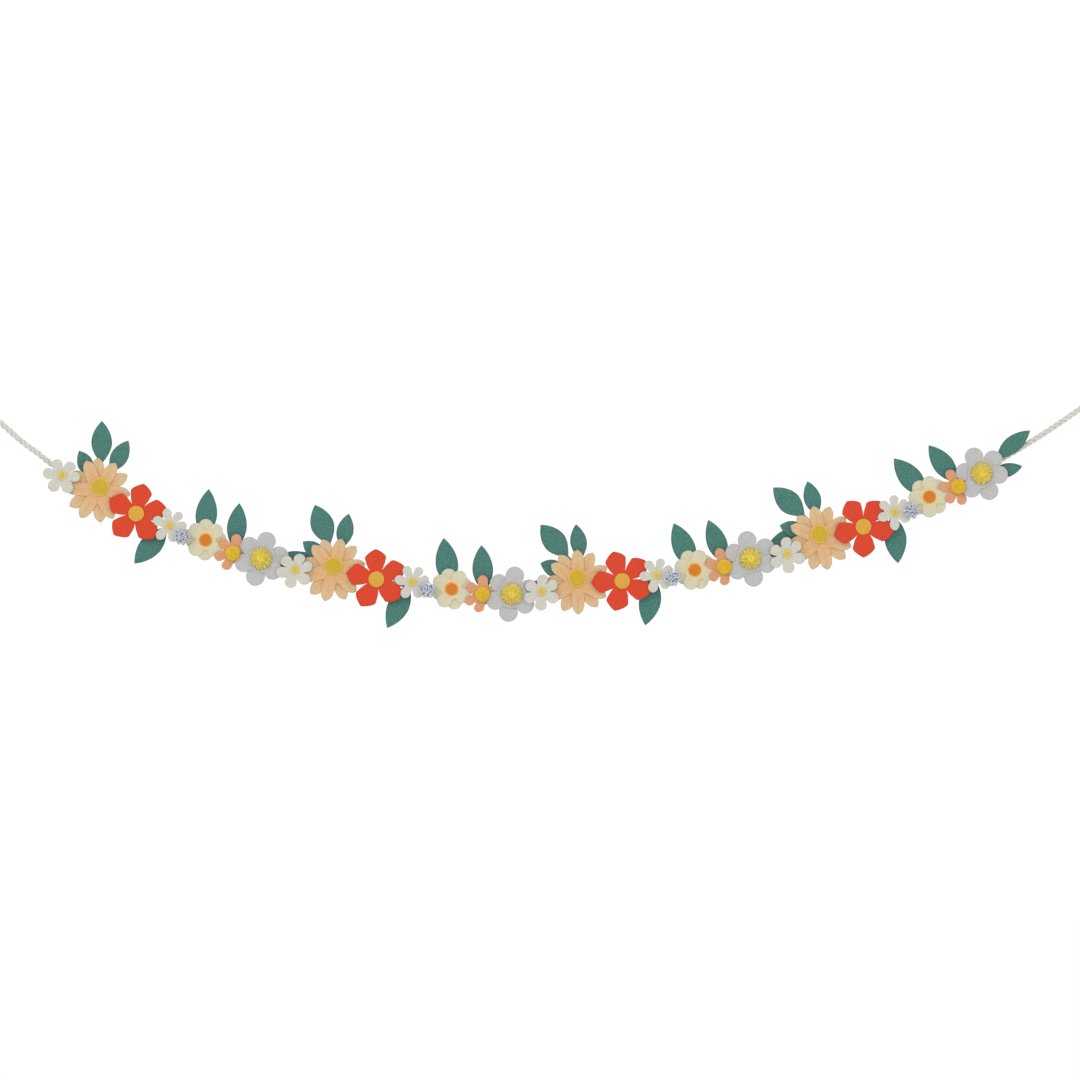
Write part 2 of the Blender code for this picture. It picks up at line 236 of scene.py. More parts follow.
def add_ball(shape: Shape, wide: float, up: float, down: float, cuts: tuple[int, int],
             waist: float = 0.0) -> None:
    """Adds a flattened ball round the origin.

    Args:
        shape: the mesh to add to.
        wide: its radius.
        up: its height above the origin.
        down: its depth below the origin.
        cuts: how many segments go round it and from foot to top.
        waist: the share of its radius that it draws in by below the origin.
    """
    made = bmesh.ops.create_uvsphere(shape, u_segments=cuts[0], v_segments=cuts[1], radius=1.0)
    for spot in made["verts"]:
        x, y, z = spot.co
        reach = wide * (1 - waist * min(1.0, max(0.0, -3 * z)))
        spot.co = Vector((x * reach, y * reach, z * (up if z > 0 else down)))


def piece_from(name: str, shape: Shape, finish: "Finish", node: str | None,
               matrix: Matrix | None = None) -> Piece:
    """Makes a smooth piece from a mesh in millimetres and rides it on the garland's body.

    Args:
        name: the piece's name.
        shape: its mesh, which is freed.
        finish: its finish, which gives its material.
        node: the CAD node that it stands for, if any.
        matrix: its place, or None to leave it in the row's frame.

    Returns:
        The piece.
    """
    bmesh.ops.recalc_face_normals(shape, faces=shape.faces)
    bmesh.ops.scale(shape, vec=(MM, MM, MM), verts=shape.verts)
    # Pieces built without painted shade get 1 everywhere and keep their own colour.
    if PAINTED_SHADE not in shape.verts.layers.float:
        painted_shade = shape.verts.layers.float.new(PAINTED_SHADE)
        for spot in shape.verts:
            spot[painted_shade] = 1.0
    mesh = bpy.data.meshes.new(name)
    shape.to_mesh(mesh)
    shape.free()
    mesh.materials.append(finish.material())
    mesh.shade_smooth()
    piece = bpy.data.objects.new(name, mesh)
    bpy.context.scene.collection.objects.link(piece)
    if matrix is not None:
        piece.matrix_world = matrix
    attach(piece, BODY)
    if node is not None:
        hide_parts(node)
    log.info("%s: %d faces", name, len(mesh.polygons))
    return piece


# ---------------------------------------------------------------- finishes


def grey(level: float) -> Colour:
    """A neutral colour."""
    return level, level, level


@dataclass(frozen=True)
class Shader:
    """A small helper that adds and links nodes in one material or world."""

    owner: Material | bpy.types.World

    def node(self, kind: str, **values: object) -> Node:
        """Adds a node and sets its properties and input sockets.

        Args:
            kind: the node's type without its ShaderNode prefix.
            values: a property's value, or an input socket's value under its lower-case name.

        Returns:
            The node.
        """
        made = self.owner.node_tree.nodes.new("ShaderNode" + kind)
        for name, value in values.items():
            if hasattr(made, name):
                setattr(made, name, value)
            else:
                made.inputs[name.replace("_", " ").title()].default_value = value
        return made

    def link(self, source: Socket, target: Socket) -> None:
        """Links two sockets."""
        self.owner.node_tree.links.new(source, target)

    def noise(self, place: Socket, **values: object) -> Node:
        """Adds a noise texture read at a place.

        Args:
            place: the place's socket.
            values: the texture's settings.

        Returns:
            The texture node.
        """
        made = self.node("TexNoise", **values)
        self.link(place, made.inputs["Vector"])
        return made

    def ramp(self, value: Socket, *stops: tuple[float, Colour]) -> Socket:
        """Adds a colour ramp.

        Args:
            value: the socket that drives it.
            *stops: its positions and colours, in order.

        Returns:
            The ramp's colour socket.
        """
        ramp = self.node("ValToRGB")
        elements = ramp.color_ramp.elements
        while len(elements) < len(stops):
            elements.new(0.5)
        for element, (position, colour) in zip(elements, stops):
            element.position = position
            element.color = (*colour, 1.0)
        self.link(value, ramp.inputs["Fac"])
        return ramp.outputs["Color"]

    def shade(self, under: Socket | Colour, over: Socket) -> Socket:
        """Multiplies a colour by a shading.

        Args:
            under: the colour, or a socket of it.
            over: the shading's socket.

        Returns:
            The shaded colour's socket.
        """
        mix = self.node("Mix", data_type="RGBA", blend_type="MULTIPLY")
        mix.inputs["Factor"].default_value = 1.0
        first, second = (s for s in mix.inputs if s.type == "RGBA")
        if isinstance(under, tuple):
            first.default_value = (*under, 1.0)
        else:
            self.link(under, first)
        self.link(over, second)
        return next(s for s in mix.outputs if s.type == "RGBA")

    def from_middle(self, far: float) -> Socket:
        """Measures how far a spot is from its piece's middle axis.

        Args:
            far: the distance that counts as 1, in metres.

        Returns:
            The distance's socket.
        """
        flat = self.node("VectorMath", operation="MULTIPLY")
        flat.inputs[1].default_value = (1.0 / far, 1.0 / far, 0.0)
        self.link(self.node("TexCoord").outputs["Object"], flat.inputs[0])
        length = self.node("VectorMath", operation="LENGTH")
        self.link(flat.outputs["Vector"], length.inputs[0])
        return length.outputs["Value"]


@dataclass(frozen=True)
class ClothShader(Shader):
    """The nodes of one cloth or yarn material."""

    owner: Material

    def set_surface(self, roughness: float, sheen: float, tint: Sequence[float]) -> None:
        """Sets the surface under the nodes.

        Args:
            roughness: the surface's roughness.
            sheen: how strongly loose fibres catch the light.
            tint: the colour of that light, cut off at 1.
        """
        inputs = self.owner.node_tree.nodes["Principled BSDF"].inputs
        inputs["Roughness"].default_value = roughness
        inputs["Specular IOR Level"].default_value = 0.15
        inputs["Sheen Weight"].default_value = sheen
        inputs["Sheen Roughness"].default_value = 0.6
        inputs["Sheen Tint"].default_value = (*(min(1.0, channel) for channel in tint), 1.0)

    def dress(self, colour: Socket, height: Socket, strength: float, depth: float) -> None:
        """Links the surface's colour and its bump.

        Args:
            colour: the colour's socket.
            height: the socket of the bump's height.
            strength: the bump's strength.
            depth: how deep it reads, in metres.
        """
        inputs = self.owner.node_tree.nodes["Principled BSDF"].inputs
        self.link(colour, inputs["Base Color"])
        bump = self.node("Bump", strength=strength, distance=depth)
        self.link(height, bump.inputs["Height"])
        self.link(bump.outputs["Normal"], inputs["Normal"])


def new_cloth(name: str) -> ClothShader:
    """Makes a cloth material.

    Args:
        name: the material's name.

    Returns:
        The helper for its nodes.
    """
    material = bpy.data.materials.new(name)
    material.use_nodes = True
    return ClothShader(material)


@dataclass(frozen=True)
class FeltFinish:
    """Pressed craft felt: cloudy colour, matted fibres and a soft nap.

    rings gives colours at distances from the piece's middle, in millimetres, for felt whose
    colour changes from its middle to its edge; an empty tuple leaves the felt one colour. The
    shade tint is painted shade: it darkens the felt where the painted shade attribute falls
    below 1, in its folds, in the valleys between petals and along its cut edge. slot is the
    record's material slot, or None where the record has none for this finish; nothing reads
    it. The scales are turns of noise in each metre.
    """

    name: str
    slot: Slot | None
    colour: Colour
    light: float = 1.05
    dark: float = 0.93
    rings: tuple[tuple[float, Colour], ...] = ()
    painted_shade_tint: Colour = (0.85, 0.85, 0.85)
    bump: float = 0.35
    sheen: float = 0.12
    cloud_scale: float = 560.0
    fibre_scale: float = 1500.0
    mat_scale: float = 900.0

    def make(self) -> Material:
        """Builds the felt's nodes.

        Returns:
            The material.
        """
        shader = new_cloth(self.name)
        shader.set_surface(0.95, self.sheen, [0.4 + 0.6 * channel for channel in self.colour])
        place = shader.node("NewGeometry").outputs["Position"]
        cloud = shader.noise(place, scale=self.cloud_scale, detail=3.0, roughness=0.6)
        fibre = shader.noise(place, scale=self.fibre_scale, detail=3.0, roughness=0.7, distortion=1.2)
        warped = shader.node("VectorMath", operation="MULTIPLY_ADD")
        warped.inputs[1].default_value = (0.004, 0.004, 0.004)
        shader.link(fibre.outputs["Color"], warped.inputs[0])
        shader.link(place, warped.inputs[2])
        strand = shader.node("TexVoronoi", feature="DISTANCE_TO_EDGE", scale=self.mat_scale)
        shader.link(warped.outputs["Vector"], strand.inputs["Vector"])

        colour: Socket | Colour = self.colour
        if self.rings:
            far = self.rings[-1][0]
            stops = [(at / far, ring) for at, ring in self.rings]
            colour = shader.ramp(shader.from_middle(far * MM), *stops)
        # Painted shade: the shade tint darkens the felt where the painted shade attribute falls below 1, in
        # folds, between petals and along cut edges.
        painted_shade = shader.node("Attribute", attribute_name=PAINTED_SHADE).outputs["Fac"]
        colour = shader.shade(colour, shader.ramp(painted_shade, (0.0, self.painted_shade_tint), (1.0, grey(1.0))))
        colour = shader.shade(colour, shader.ramp(
            cloud.outputs["Fac"], (0.36, grey(self.dark)), (0.50, grey(1.0)), (0.66, grey(self.light))))
        # The fibre noise also lowers the bump where it darkens the felt, so besides the fibres' own uneven
        # colour this paints shade into their hollows and a highlight on their rises.
        colour = shader.shade(colour, shader.ramp(
            fibre.outputs["Fac"], (0.32, grey(0.88)), (0.52, grey(1.0)), (0.7, grey(1.08))))
        mixed = shader.node("Math", operation="ADD")
        shader.link(fibre.outputs["Fac"], mixed.inputs[0])
        shader.link(strand.outputs["Distance"], mixed.inputs[1])
        shader.dress(colour, mixed.outputs["Value"], self.bump, 0.0006)
        return shader.owner


@dataclass(frozen=True)
class YarnFinish:
    """Spun yarn or thread: fine fibres with painted shade in their hollows and a painted highlight on their
    rises, and a light nap.

    middle tints the yarn within a distance of the piece's middle: the distance up to which the
    tint is full, the distance where it ends, both in millimetres, and the tint. slot is the
    record's material slot; nothing reads it. The scales are turns of noise in each metre.
    """

    name: str
    slot: Slot | None
    colour: Colour
    shade: Colour
    scale: float = 2200.0
    bump: float = 0.3
    sheen: float = 0.2
    middle: tuple[float, float, Colour] | None = None
    cloud_scale: float = 420.0

    def make(self) -> Material:
        """Builds the yarn's nodes.

        Returns:
            The material.
        """
        shader = new_cloth(self.name)
        shader.set_surface(0.85, self.sheen, [0.3 + channel for channel in self.colour])
        place = shader.node("NewGeometry").outputs["Position"]
        cloud = shader.noise(place, scale=self.cloud_scale, detail=3.0, roughness=0.6)
        fibre = shader.noise(place, scale=self.scale, detail=2.0, roughness=0.7, distortion=0.8)
        lit = tuple(min(1.0, 1.08 * channel) for channel in self.colour)
        colour = shader.ramp(cloud.outputs["Fac"], (0.30, self.shade), (0.55, self.colour), (0.8, lit))
        # The fibre noise also drives the bump, so this ramp paints shade into the fibres' hollows and a
        # highlight on their rises.
        colour = shader.shade(colour, shader.ramp(
            fibre.outputs["Fac"], (0.3, grey(0.82)), (0.55, grey(1.0)), (0.75, grey(1.1))))
        if self.middle:
            near, far, tint = self.middle
            share = shader.from_middle(far * MM)
            colour = shader.shade(colour, shader.ramp(share, (near / far, tint), (1.0, grey(1.0))))
        shader.dress(colour, fibre.outputs["Fac"], self.bump, 0.0004)
        return shader.owner


class Finish(Enum):
    """The garland's finishes."""

    CORD = YarnFinish("twisted_cotton", Slot.CORD, (0.72, 0.70, 0.63), (0.60, 0.58, 0.51), 1600.0)
    GREEN = FeltFinish("green_felt", Slot.GREEN, (0.071, 0.203, 0.171), 1.22, 0.80, painted_shade_tint=(0.66, 0.70, 0.70))
    WHITE = FeltFinish("white_felt", Slot.WHITE, (0.616, 0.597, 0.525), painted_shade_tint=(0.86, 0.86, 0.85))
    PEACH = FeltFinish("peach_felt", Slot.PEACH, (0.700, 0.470, 0.260), painted_shade_tint=(0.86, 0.66, 0.50), rings=(
        (0.0, (0.71, 0.40, 0.18)), (14.0, (0.73, 0.44, 0.22)), (24.0, (0.70, 0.485, 0.268)),
        (33.0, (0.65, 0.515, 0.325))))
    RED = FeltFinish("red_felt", Slot.RED, (0.690, 0.064, 0.027), 1.06, painted_shade_tint=(0.76, 0.60, 0.60))
    CREAM = FeltFinish("cream_felt", Slot.CREAM, (0.660, 0.630, 0.450), painted_shade_tint=(0.86, 0.85, 0.80), rings=(
        (0.0, (0.84, 0.44, 0.17)), (5.9, (0.84, 0.45, 0.19)), (7.3, (0.77, 0.61, 0.32)),
        (9.2, (0.71, 0.615, 0.385)), (12.5, (0.665, 0.63, 0.44)), (21.0, (0.65, 0.63, 0.465))))
    CORAL = FeltFinish("coral_felt", Slot.CORAL, (0.760, 0.345, 0.180), painted_shade_tint=(0.84, 0.72, 0.66), rings=(
        (0.0, (0.73, 0.44, 0.20)), (8.0, (0.74, 0.40, 0.20)), (13.0, (0.72, 0.335, 0.185)),
        (19.0, (0.71, 0.325, 0.185))))
    GREY = FeltFinish("grey_felt", Slot.GREY, (0.512, 0.512, 0.512), painted_shade_tint=(0.82, 0.82, 0.84))
    DOT = FeltFinish("yellow_dot", None, (0.66, 0.50, 0.09), rings=(
        (0.0, (0.68, 0.46, 0.065)), (2.3, (0.67, 0.50, 0.09)), (3.9, (0.65, 0.56, 0.24)),
        (5.3, (0.63, 0.60, 0.45))))
    PEACH_RING = FeltFinish("pale_yellow_felt", None, (0.74, 0.50, 0.115))
    PEACH_DISC = FeltFinish("golden_felt", None, (0.612, 0.405, 0.036))
    OCHRE = FeltFinish("ochre_felt", None, (0.70, 0.375, 0.055))
    # The orange disc's darker ring about 4.7 mm out is painted shade at the disc's edge; its other colours
    # are the felt's own.
    ORANGE = FeltFinish("orange_felt", None, (0.71, 0.205, 0.018), rings=(
        (0.0, (0.70, 0.20, 0.016)), (3.4, (0.70, 0.20, 0.018)), (4.7, (0.62, 0.21, 0.03)),
        (6.2, (0.74, 0.31, 0.07))))
    LILAC = YarnFinish("lilac_yarn", Slot.LILAC, (0.65, 0.67, 0.735), (0.53, 0.55, 0.64))
    # The core's dark colour is painted shade, standing for the shade deep between the tuft's loops.
    LILAC_CORE = YarnFinish("lilac_core_painted_shade", Slot.LILAC, (0.39, 0.41, 0.49), (0.30, 0.32, 0.40))
    # The thread is paler toward the dome's rim than at its middle: partly its own paler colour, partly
    # painted light that offsets the shade where the dome curves away.
    DOME = YarnFinish("golden_thread", Slot.DOME, (0.84, 0.55, 0.078), (0.75, 0.44, 0.050),
                      middle=(3.2, 8.0, (0.93, 0.93, 0.27)))
    # The yarn is brighter toward the pompom's rim than at its middle: painted light that offsets the shade
    # among the fringe there.
    POMPOM = YarnFinish("yellow_yarn", Slot.POMPOM, (0.98, 0.80, 0.17), (0.90, 0.70, 0.10),
                        middle=(5.0, 11.0, (0.93, 0.90, 0.66)))
    # The core's darker colour is painted shade, standing for the shade deep between the yarn ends.
    POMPOM_CORE = YarnFinish("yellow_core_painted_shade", Slot.POMPOM, (0.80, 0.64, 0.17), (0.69, 0.53, 0.11))
    TACK = YarnFinish("sewing_thread", Slot.CORD, (0.70, 0.69, 0.64), (0.55, 0.54, 0.48))

    @cache
    def material(self) -> Material:
        """The finish's material, built on first use."""
        return self.value.make()


# ---------------------------------------------------------------- felt layers


# How round a cut edge is, as a share of the felt's thickness, and the sharpest angle left as it is.
EDGE_ROUND = 0.26
EDGE_ANGLE = radians(50)
# How far a layer lies flat, as a share of its reach; half a crease's width, and half the width
# of the painted shade line along it; how many turns of the wobble there are in each millimetre.
FLAT_SHARE = 0.35
CREASE_WIDTH = 1.1
CREASE_SHADE_WIDTH = 1.2
WOBBLE_SCALE = 0.09
# The share of a half sector past which a round end gives way to the cut between two petals, and
# how many points the cut has.
CUT_SHARE = 0.97
CUT_POINTS = 4


@dataclass(frozen=True)
class Curl:
    """How a felt layer leaves the flat, in millimetres.

    tip: how far petal tips bend forward; cup: how far petal sides rise; crease: depth of the
    fold along each petal; wave: size of the uneven wobble.
    """

    tip: float = 0.0
    cup: float = 0.0
    crease: float = 0.0
    wave: float = 0.25


@dataclass(frozen=True)
class Edge:
    """One point of a felt layer's cut edge: its direction, distance and side of its petal."""

    angle: float
    far: float
    share: float


def flat_area(outline: Sequence[Sequence[float]]) -> float:
    """The area inside a closed outline, in square millimetres."""
    pairs = zip(outline, [*outline[1:], outline[0]])
    return abs(sum(a[0] * b[1] - b[0] * a[1] for a, b in pairs)) / 2


def outline_size(outline: Sequence[Vector]) -> tuple[float, float, float]:
    """An outline's width, length and area.

    Args:
        outline: the outline's points in order.

    Returns:
        The three sizes, in millimetres and square millimetres.
    """
    across, along = [spot.x for spot in outline], [spot.y for spot in outline]
    return max(across) - min(across), max(along) - min(along), flat_area(outline)


def add_felt(name: str, shape: Shape, finish: Finish, node: str, matrix: Matrix, thick: float) -> None:
    """Args:
        name: the piece's name.
        shape: its open mesh in millimetres, which is freed.
        finish: its felt.
        node: the CAD node that it stands for.
        matrix: its place.
        thick: the felt's thickness.
    """
    piece = piece_from(name, shape, finish, node, matrix)
    felt = piece.modifiers.new("felt", "SOLIDIFY")
    felt.thickness = thick * MM
    felt.offset = 0.0
    edge = piece.modifiers.new("soft_edge", "BEVEL")
    edge.width = EDGE_ROUND * thick * MM
    edge.segments = 2
    edge.limit_method = "ANGLE"
    edge.angle_limit = EDGE_ANGLE


@dataclass(frozen=True)
class PetalLayer:
    """One die-cut felt layer of petals round a middle.

    reach is middle to tip, notch middle to the cut between petals, lobe the radius of a round
    end; profile lists half a pointed petal as shares of the half sector and of the reach.
    swings turn each petal from its even place and sizes stretch it, both petal by petal.
    fold and rim are how strong the painted shade is: fold along a petal's middle and in the
    valleys between petals near the middle, rim along its cut edge.
    """

    petals: int
    reach: float
    notch: float
    lobe: float = 0.0
    profile: tuple[Point, ...] = ()
    swings: tuple[float, ...] = ()
    sizes: tuple[float, ...] = ()
    curl: Curl = Curl()
    start: float = 0.0
    thick: float = 1.0
    fold: float = 0.0
    rim: float = 0.45
    steps: int = 12
    rings: tuple[float, ...] = (0.10, 0.22, 0.34, 0.46, 0.57, 0.67, 0.76, 0.84, 0.90, 0.94, 0.97, 1.0)

    def half_petal(self) -> list[Point]:
        """Half a petal's edge from its tip to its notch.

        Returns:
            Rows of share of the half sector and distance from the middle.
        """
        if self.profile:
            line = smooth_line([Vector(row) for row in self.profile], 1.0 / self.steps)
            return [(spot.x, spot.y * self.reach) for spot in line]
        centre = self.reach - self.lobe
        widest = pi / 2 + asin(self.lobe / centre)
        rows = []
        for index in range(self.steps):
            x, y = on_circle(widest * index / (self.steps - 1), self.lobe)
            share = asin(y / hypot(centre + x, y)) / (pi / self.petals)
            if share < CUT_SHARE:
                rows.append((share, hypot(centre + x, y)))
        side, far = rows[-1]
        for index in range(1, CUT_POINTS + 1):
            t = index / CUT_POINTS
            rows.append((side + (1 - side) * t, far + (self.notch - far) * t**0.8))
        return rows

    def edge(self, seed: int) -> list[Edge]:
        """The layer's whole cut edge, anticlockwise.

        Args:
            seed: picks the small unevenness of the cut.

        Returns:
            The edge's points.
        """
        half = self.half_petal()
        sides = [(-share, far) for share, far in half[:0:-1]] + half[:-1]
        sector = pi / self.petals
        swings = [radians(swing) for swing in (self.swings or (0.0,) * self.petals)]
        sizes = self.sizes or (1.0,) * self.petals
        chance = Random(seed)
        edge = []
        for petal in range(self.petals):
            before = (swings[petal - 1] - swings[petal]) / 2
            after = (swings[(petal + 1) % self.petals] - swings[petal]) / 2
            size = sizes[petal] * chance.uniform(0.985, 1.015)
            skew = chance.uniform(-0.02, 0.02)
            for share, far in sides:
                swing = swings[petal] + after * max(share, 0.0) ** 3 + before * max(-share, 0.0) ** 3
                grow = 1 + (size - 1 + skew * share) * (1 - abs(share))
                angle = (2 * petal + share) * sector + swing + radians(self.start)
                edge.append(Edge(angle, far * grow, share))
        return edge

    def rise(self, share: float, far: float, seed: int, spot: Vector) -> float:
        """How far a point of the layer stands forward of the flat.

        Args:
            share: its side of its petal's middle line, from -1 to 1.
            far: its distance from the bloom's middle.
            seed: picks the wobble.
            spot: its flat place.

        Returns:
            The rise in millimetres.
        """
        sector = pi / self.petals
        along, aside = on_circle(share * sector, far)
        out = max(0.0, (along / self.reach - FLAT_SHARE) / (1 - FLAT_SHARE))
        width = 0.8 * self.reach * sin(sector)
        height = self.curl.tip * ease(out) + self.curl.cup * (aside / width) ** 2 * min(1.0, 2 * out)
        height -= self.curl.crease * exp(-((aside / CREASE_WIDTH) ** 2)) * ease(2.2 * out) * (1 - 0.5 * out)
        wobble = noise.noise(Vector((spot.x * WOBBLE_SCALE, spot.y * WOBBLE_SCALE, 3.7 * seed)))
        return height + self.curl.wave * wobble * min(1.0, 2.5 * out)

    def painted_shade(self, share: float, far: float, ring: float) -> float:
        """How much painted shade darkens the felt at a point: along a petal's middle, in the valleys between
        petals near the middle and along the cut edge.

        Args:
            share: its side of its petal's middle line, from -1 to 1.
            far: its distance from the bloom's middle.
            ring: its share of the way to the cut edge.

        Returns:
            The painted shade factor, from 0 in the darkest painted shade to 1 on the flat, unshaded felt.
        """
        aside, out = far * sin(share * pi / self.petals), far / self.reach
        crease = exp(-((aside / CREASE_SHADE_WIDTH) ** 2)) * ease(4 * (out - 0.3)) * (1 - 0.7 * out)
        valley_shade = abs(share) ** 6 * (1 - ease(1.5 * out))
        return max(0.0, 1 - self.fold * (crease + valley_shade) - self.rim * ease((ring - 0.94) / 0.06))

    def build(self, name: str, node: str, finish: Finish, place: Place, seed: int) -> None:
        """Builds the layer in its place.

        Args:
            name: the piece's name.
            node: the CAD node that it stands for.
            finish: its felt.
            place: its middle, height and turn.
            seed: picks its unevenness.
        """
        edge = self.edge(seed)
        shape = bmesh.new()
        painted_shade = shape.verts.layers.float.new(PAINTED_SHADE)
        middle = shape.verts.new((0.0, 0.0, 0.0))
        middle[painted_shade] = 1.0
        rings = []
        for ring in self.rings:
            rings.append([])
            for point in edge:
                far = ring * (self.notch + (point.far - self.notch) * ring**0.5)
                spot = Vector((*on_circle(point.angle, far), 0.0))
                spot.z = self.rise(point.share, far, seed, spot)
                rings[-1].append(shape.verts.new(spot))
                # Painted shade for this point: darker in the crease, in the valleys between petals and at the
                # cut edge.
                rings[-1][-1][painted_shade] = self.painted_shade(point.share, far, ring)
        join_rings(shape, rings, middle)
        area = flat_area([on_circle(point.angle, point.far) for point in edge])
        add_felt(name, shape, finish, node, place.matrix(), self.thick)


# ---------------------------------------------------------------- middles


class Middle(Protocol):
    """Anything that sits in the middle of a bloom."""

    def build(self, name: str, node: str, place: Place, seed: int) -> None:
        """Builds the middle.

        Args:
            name: the piece's name.
            node: the CAD node that it stands for.
            place: the bloom's place, with the height of the middle's foot.
            seed: picks its unevenness.
        """


@dataclass(frozen=True)
class YarnMiddle:
    """A rounded middle of yarn or thread: its size, its yarn's radius and its finishes.

    core is the width, height and depth of its core as shares of its own, and its cuts; fill is
    how full of yarn it is, and nothing reads it.
    """

    radius: float
    depth: float
    yarn: float
    finish: Finish
    fill: float
    core_finish: Finish | None = None
    core: tuple[float, float, float, tuple[int, int]] = (0.0, 0.0, 0.0, (0, 0))

    def add_yarn(self, shape: Shape, chance: Random) -> None:
        """Adds the middle's yarn to a mesh, as uneven as the chance makes it."""

    def build(self, name: str, node: str, place: Place, seed: int) -> None:
        """Builds the middle and its core.

        Args:
            name: the piece's name; the core takes it with a suffix.
            node: the CAD node that it stands for.
            place: the bloom's place, with the height of the middle's foot.
            seed: picks its unevenness.
        """
        shape = bmesh.new()
        self.add_yarn(shape, Random(seed))
        piece_from(name, shape, self.finish, node, place.matrix())
        if self.core_finish is not None:
            wide, up, down, cuts = self.core
            core = bmesh.new()
            add_ball(core, wide * self.radius, up * self.depth, down * self.depth, cuts)
            piece_from(name + "_core", core, self.core_finish, node, place.matrix())


@dataclass(frozen=True)
class FeltDisc:
    """A round felt disc on a bloom: its radius, thickness, finish, crown and shift from its middle."""

    radius: float
    thick: float
    finish: Finish
    crown: float = 0.35
    aside: Point = (0.0, 0.0)
    sides: int = 40
    rings: int = 6

    def build(self, name: str, node: str, place: Place, seed: int) -> None:
        """Builds the disc.

        Args:
            name: the piece's name.
            node: the CAD node that it stands for.
            place: the bloom's place, with the height of the felt that it lies on.
            seed: picks its unevenness.
        """
        shape = bmesh.new()
        rings = []
        for ring in range(1, self.rings + 1):
            out = ring / self.rings
            rings.append([])
            for angle in angles_round(self.sides):
                uneven = 1 + 0.018 * noise.noise(Vector((*on_circle(angle, 1.6), 5.1 * seed)))
                spot = (*on_circle(angle, self.radius * out * uneven), self.crown * (1 - out**2))
                rings[-1].append(shape.verts.new(spot))
        join_rings(shape, rings, shape.verts.new((0.0, 0.0, self.crown)))
        matrix = place.matrix(self.aside, self.thick / 2)
        add_felt(name, shape, self.finish, node, matrix, self.thick)


@dataclass(frozen=True)
class FeltedDot:
    """A small needle-felted dot with a soft domed front and a feathered rim."""

    radius: float
    rise: float
    aside: Point = (0.0, 0.0)
    sides: int = 36
    rings: int = 8
    foot: Point = (0.86, -0.12)
    lift: float = 0.15

    def build(self, name: str, node: str, place: Place, seed: int) -> None:
        """Builds the dot.

        Args:
            name: the piece's name.
            node: the CAD node that it stands for.
            place: the bloom's place, with the height of the felt that it lies on.
            seed: picks its unevenness.
        """
        shape = bmesh.new()
        profile = [on_circle(pi / 2 * (1 - ring / self.rings)) for ring in range(1, self.rings + 1)]
        rings = []
        for out, up in (*profile, self.foot):
            rings.append([])
            for angle in angles_round(self.sides):
                tuft = noise.noise(Vector((*on_circle(angle, 2.2 * out), 4.3 * seed)))
                fine = noise.noise(Vector((*on_circle(angle, 7.0 * out), 2.9 * seed)))
                far = self.radius * out * (1 + 0.05 * tuft + 0.03 * fine)
                height = self.rise * up * (1 + 0.22 * tuft + 0.16 * fine)
                rings[-1].append(shape.verts.new((*on_circle(angle, far), height)))
        join_rings(shape, rings, shape.verts.new((0.0, 0.0, self.rise)))
        shape.faces.new(rings[-1])
        piece_from(name, shape, Finish.DOT, node, place.matrix(self.aside, self.lift))


@dataclass(frozen=True)
class ThreadDome(YarnMiddle):
    """A padded dome on a short neck, wrapped with thread in crossing bundles.

    neck is its depth below the dome and waist how far that draws in; inset is how far the
    padding lies inside the thread, wound the share of the radius that the thread covers, and
    lap how far each bundle lies over the one before.
    """

    yarn: float = 0.42
    finish: Finish = Finish.DOME
    fill: float = 0.8
    neck: float = 2.3
    waist: float = 0.42
    inset: float = 0.5
    wound: float = 0.93
    lap: float = 0.16
    bundles: tuple[float, ...] = (8.0, 68.0, 128.0)
    turns: int = 17
    steps: int = 12

    def add_yarn(self, shape: Shape, chance: Random) -> None:
        """Adds the dome and its winding.

        Args:
            shape: the mesh to add to.
            chance: makes the winding uneven.
        """
        add_ball(shape, self.radius - self.inset, self.depth, self.neck, (28, 14), self.waist)
        for layer, aim in enumerate(self.bundles):
            for turn in range(self.turns):
                aside = (2 * (turn + 0.5) / self.turns - 1) * self.wound + chance.uniform(-0.02, 0.02)
                angle = radians(aim + chance.uniform(-5, 5))
                line = []
                for step in range(self.steps + 1):
                    along = sqrt(1 - aside * aside) * (2 * step / self.steps - 1)
                    x, y = turned(along, aside, angle)
                    up = self.depth * sqrt(max(0.0, 1 - x * x - y * y)) + self.lap * layer
                    line.append(Vector((x * self.radius, y * self.radius, up)))
                add_tube(shape, line, self.yarn)


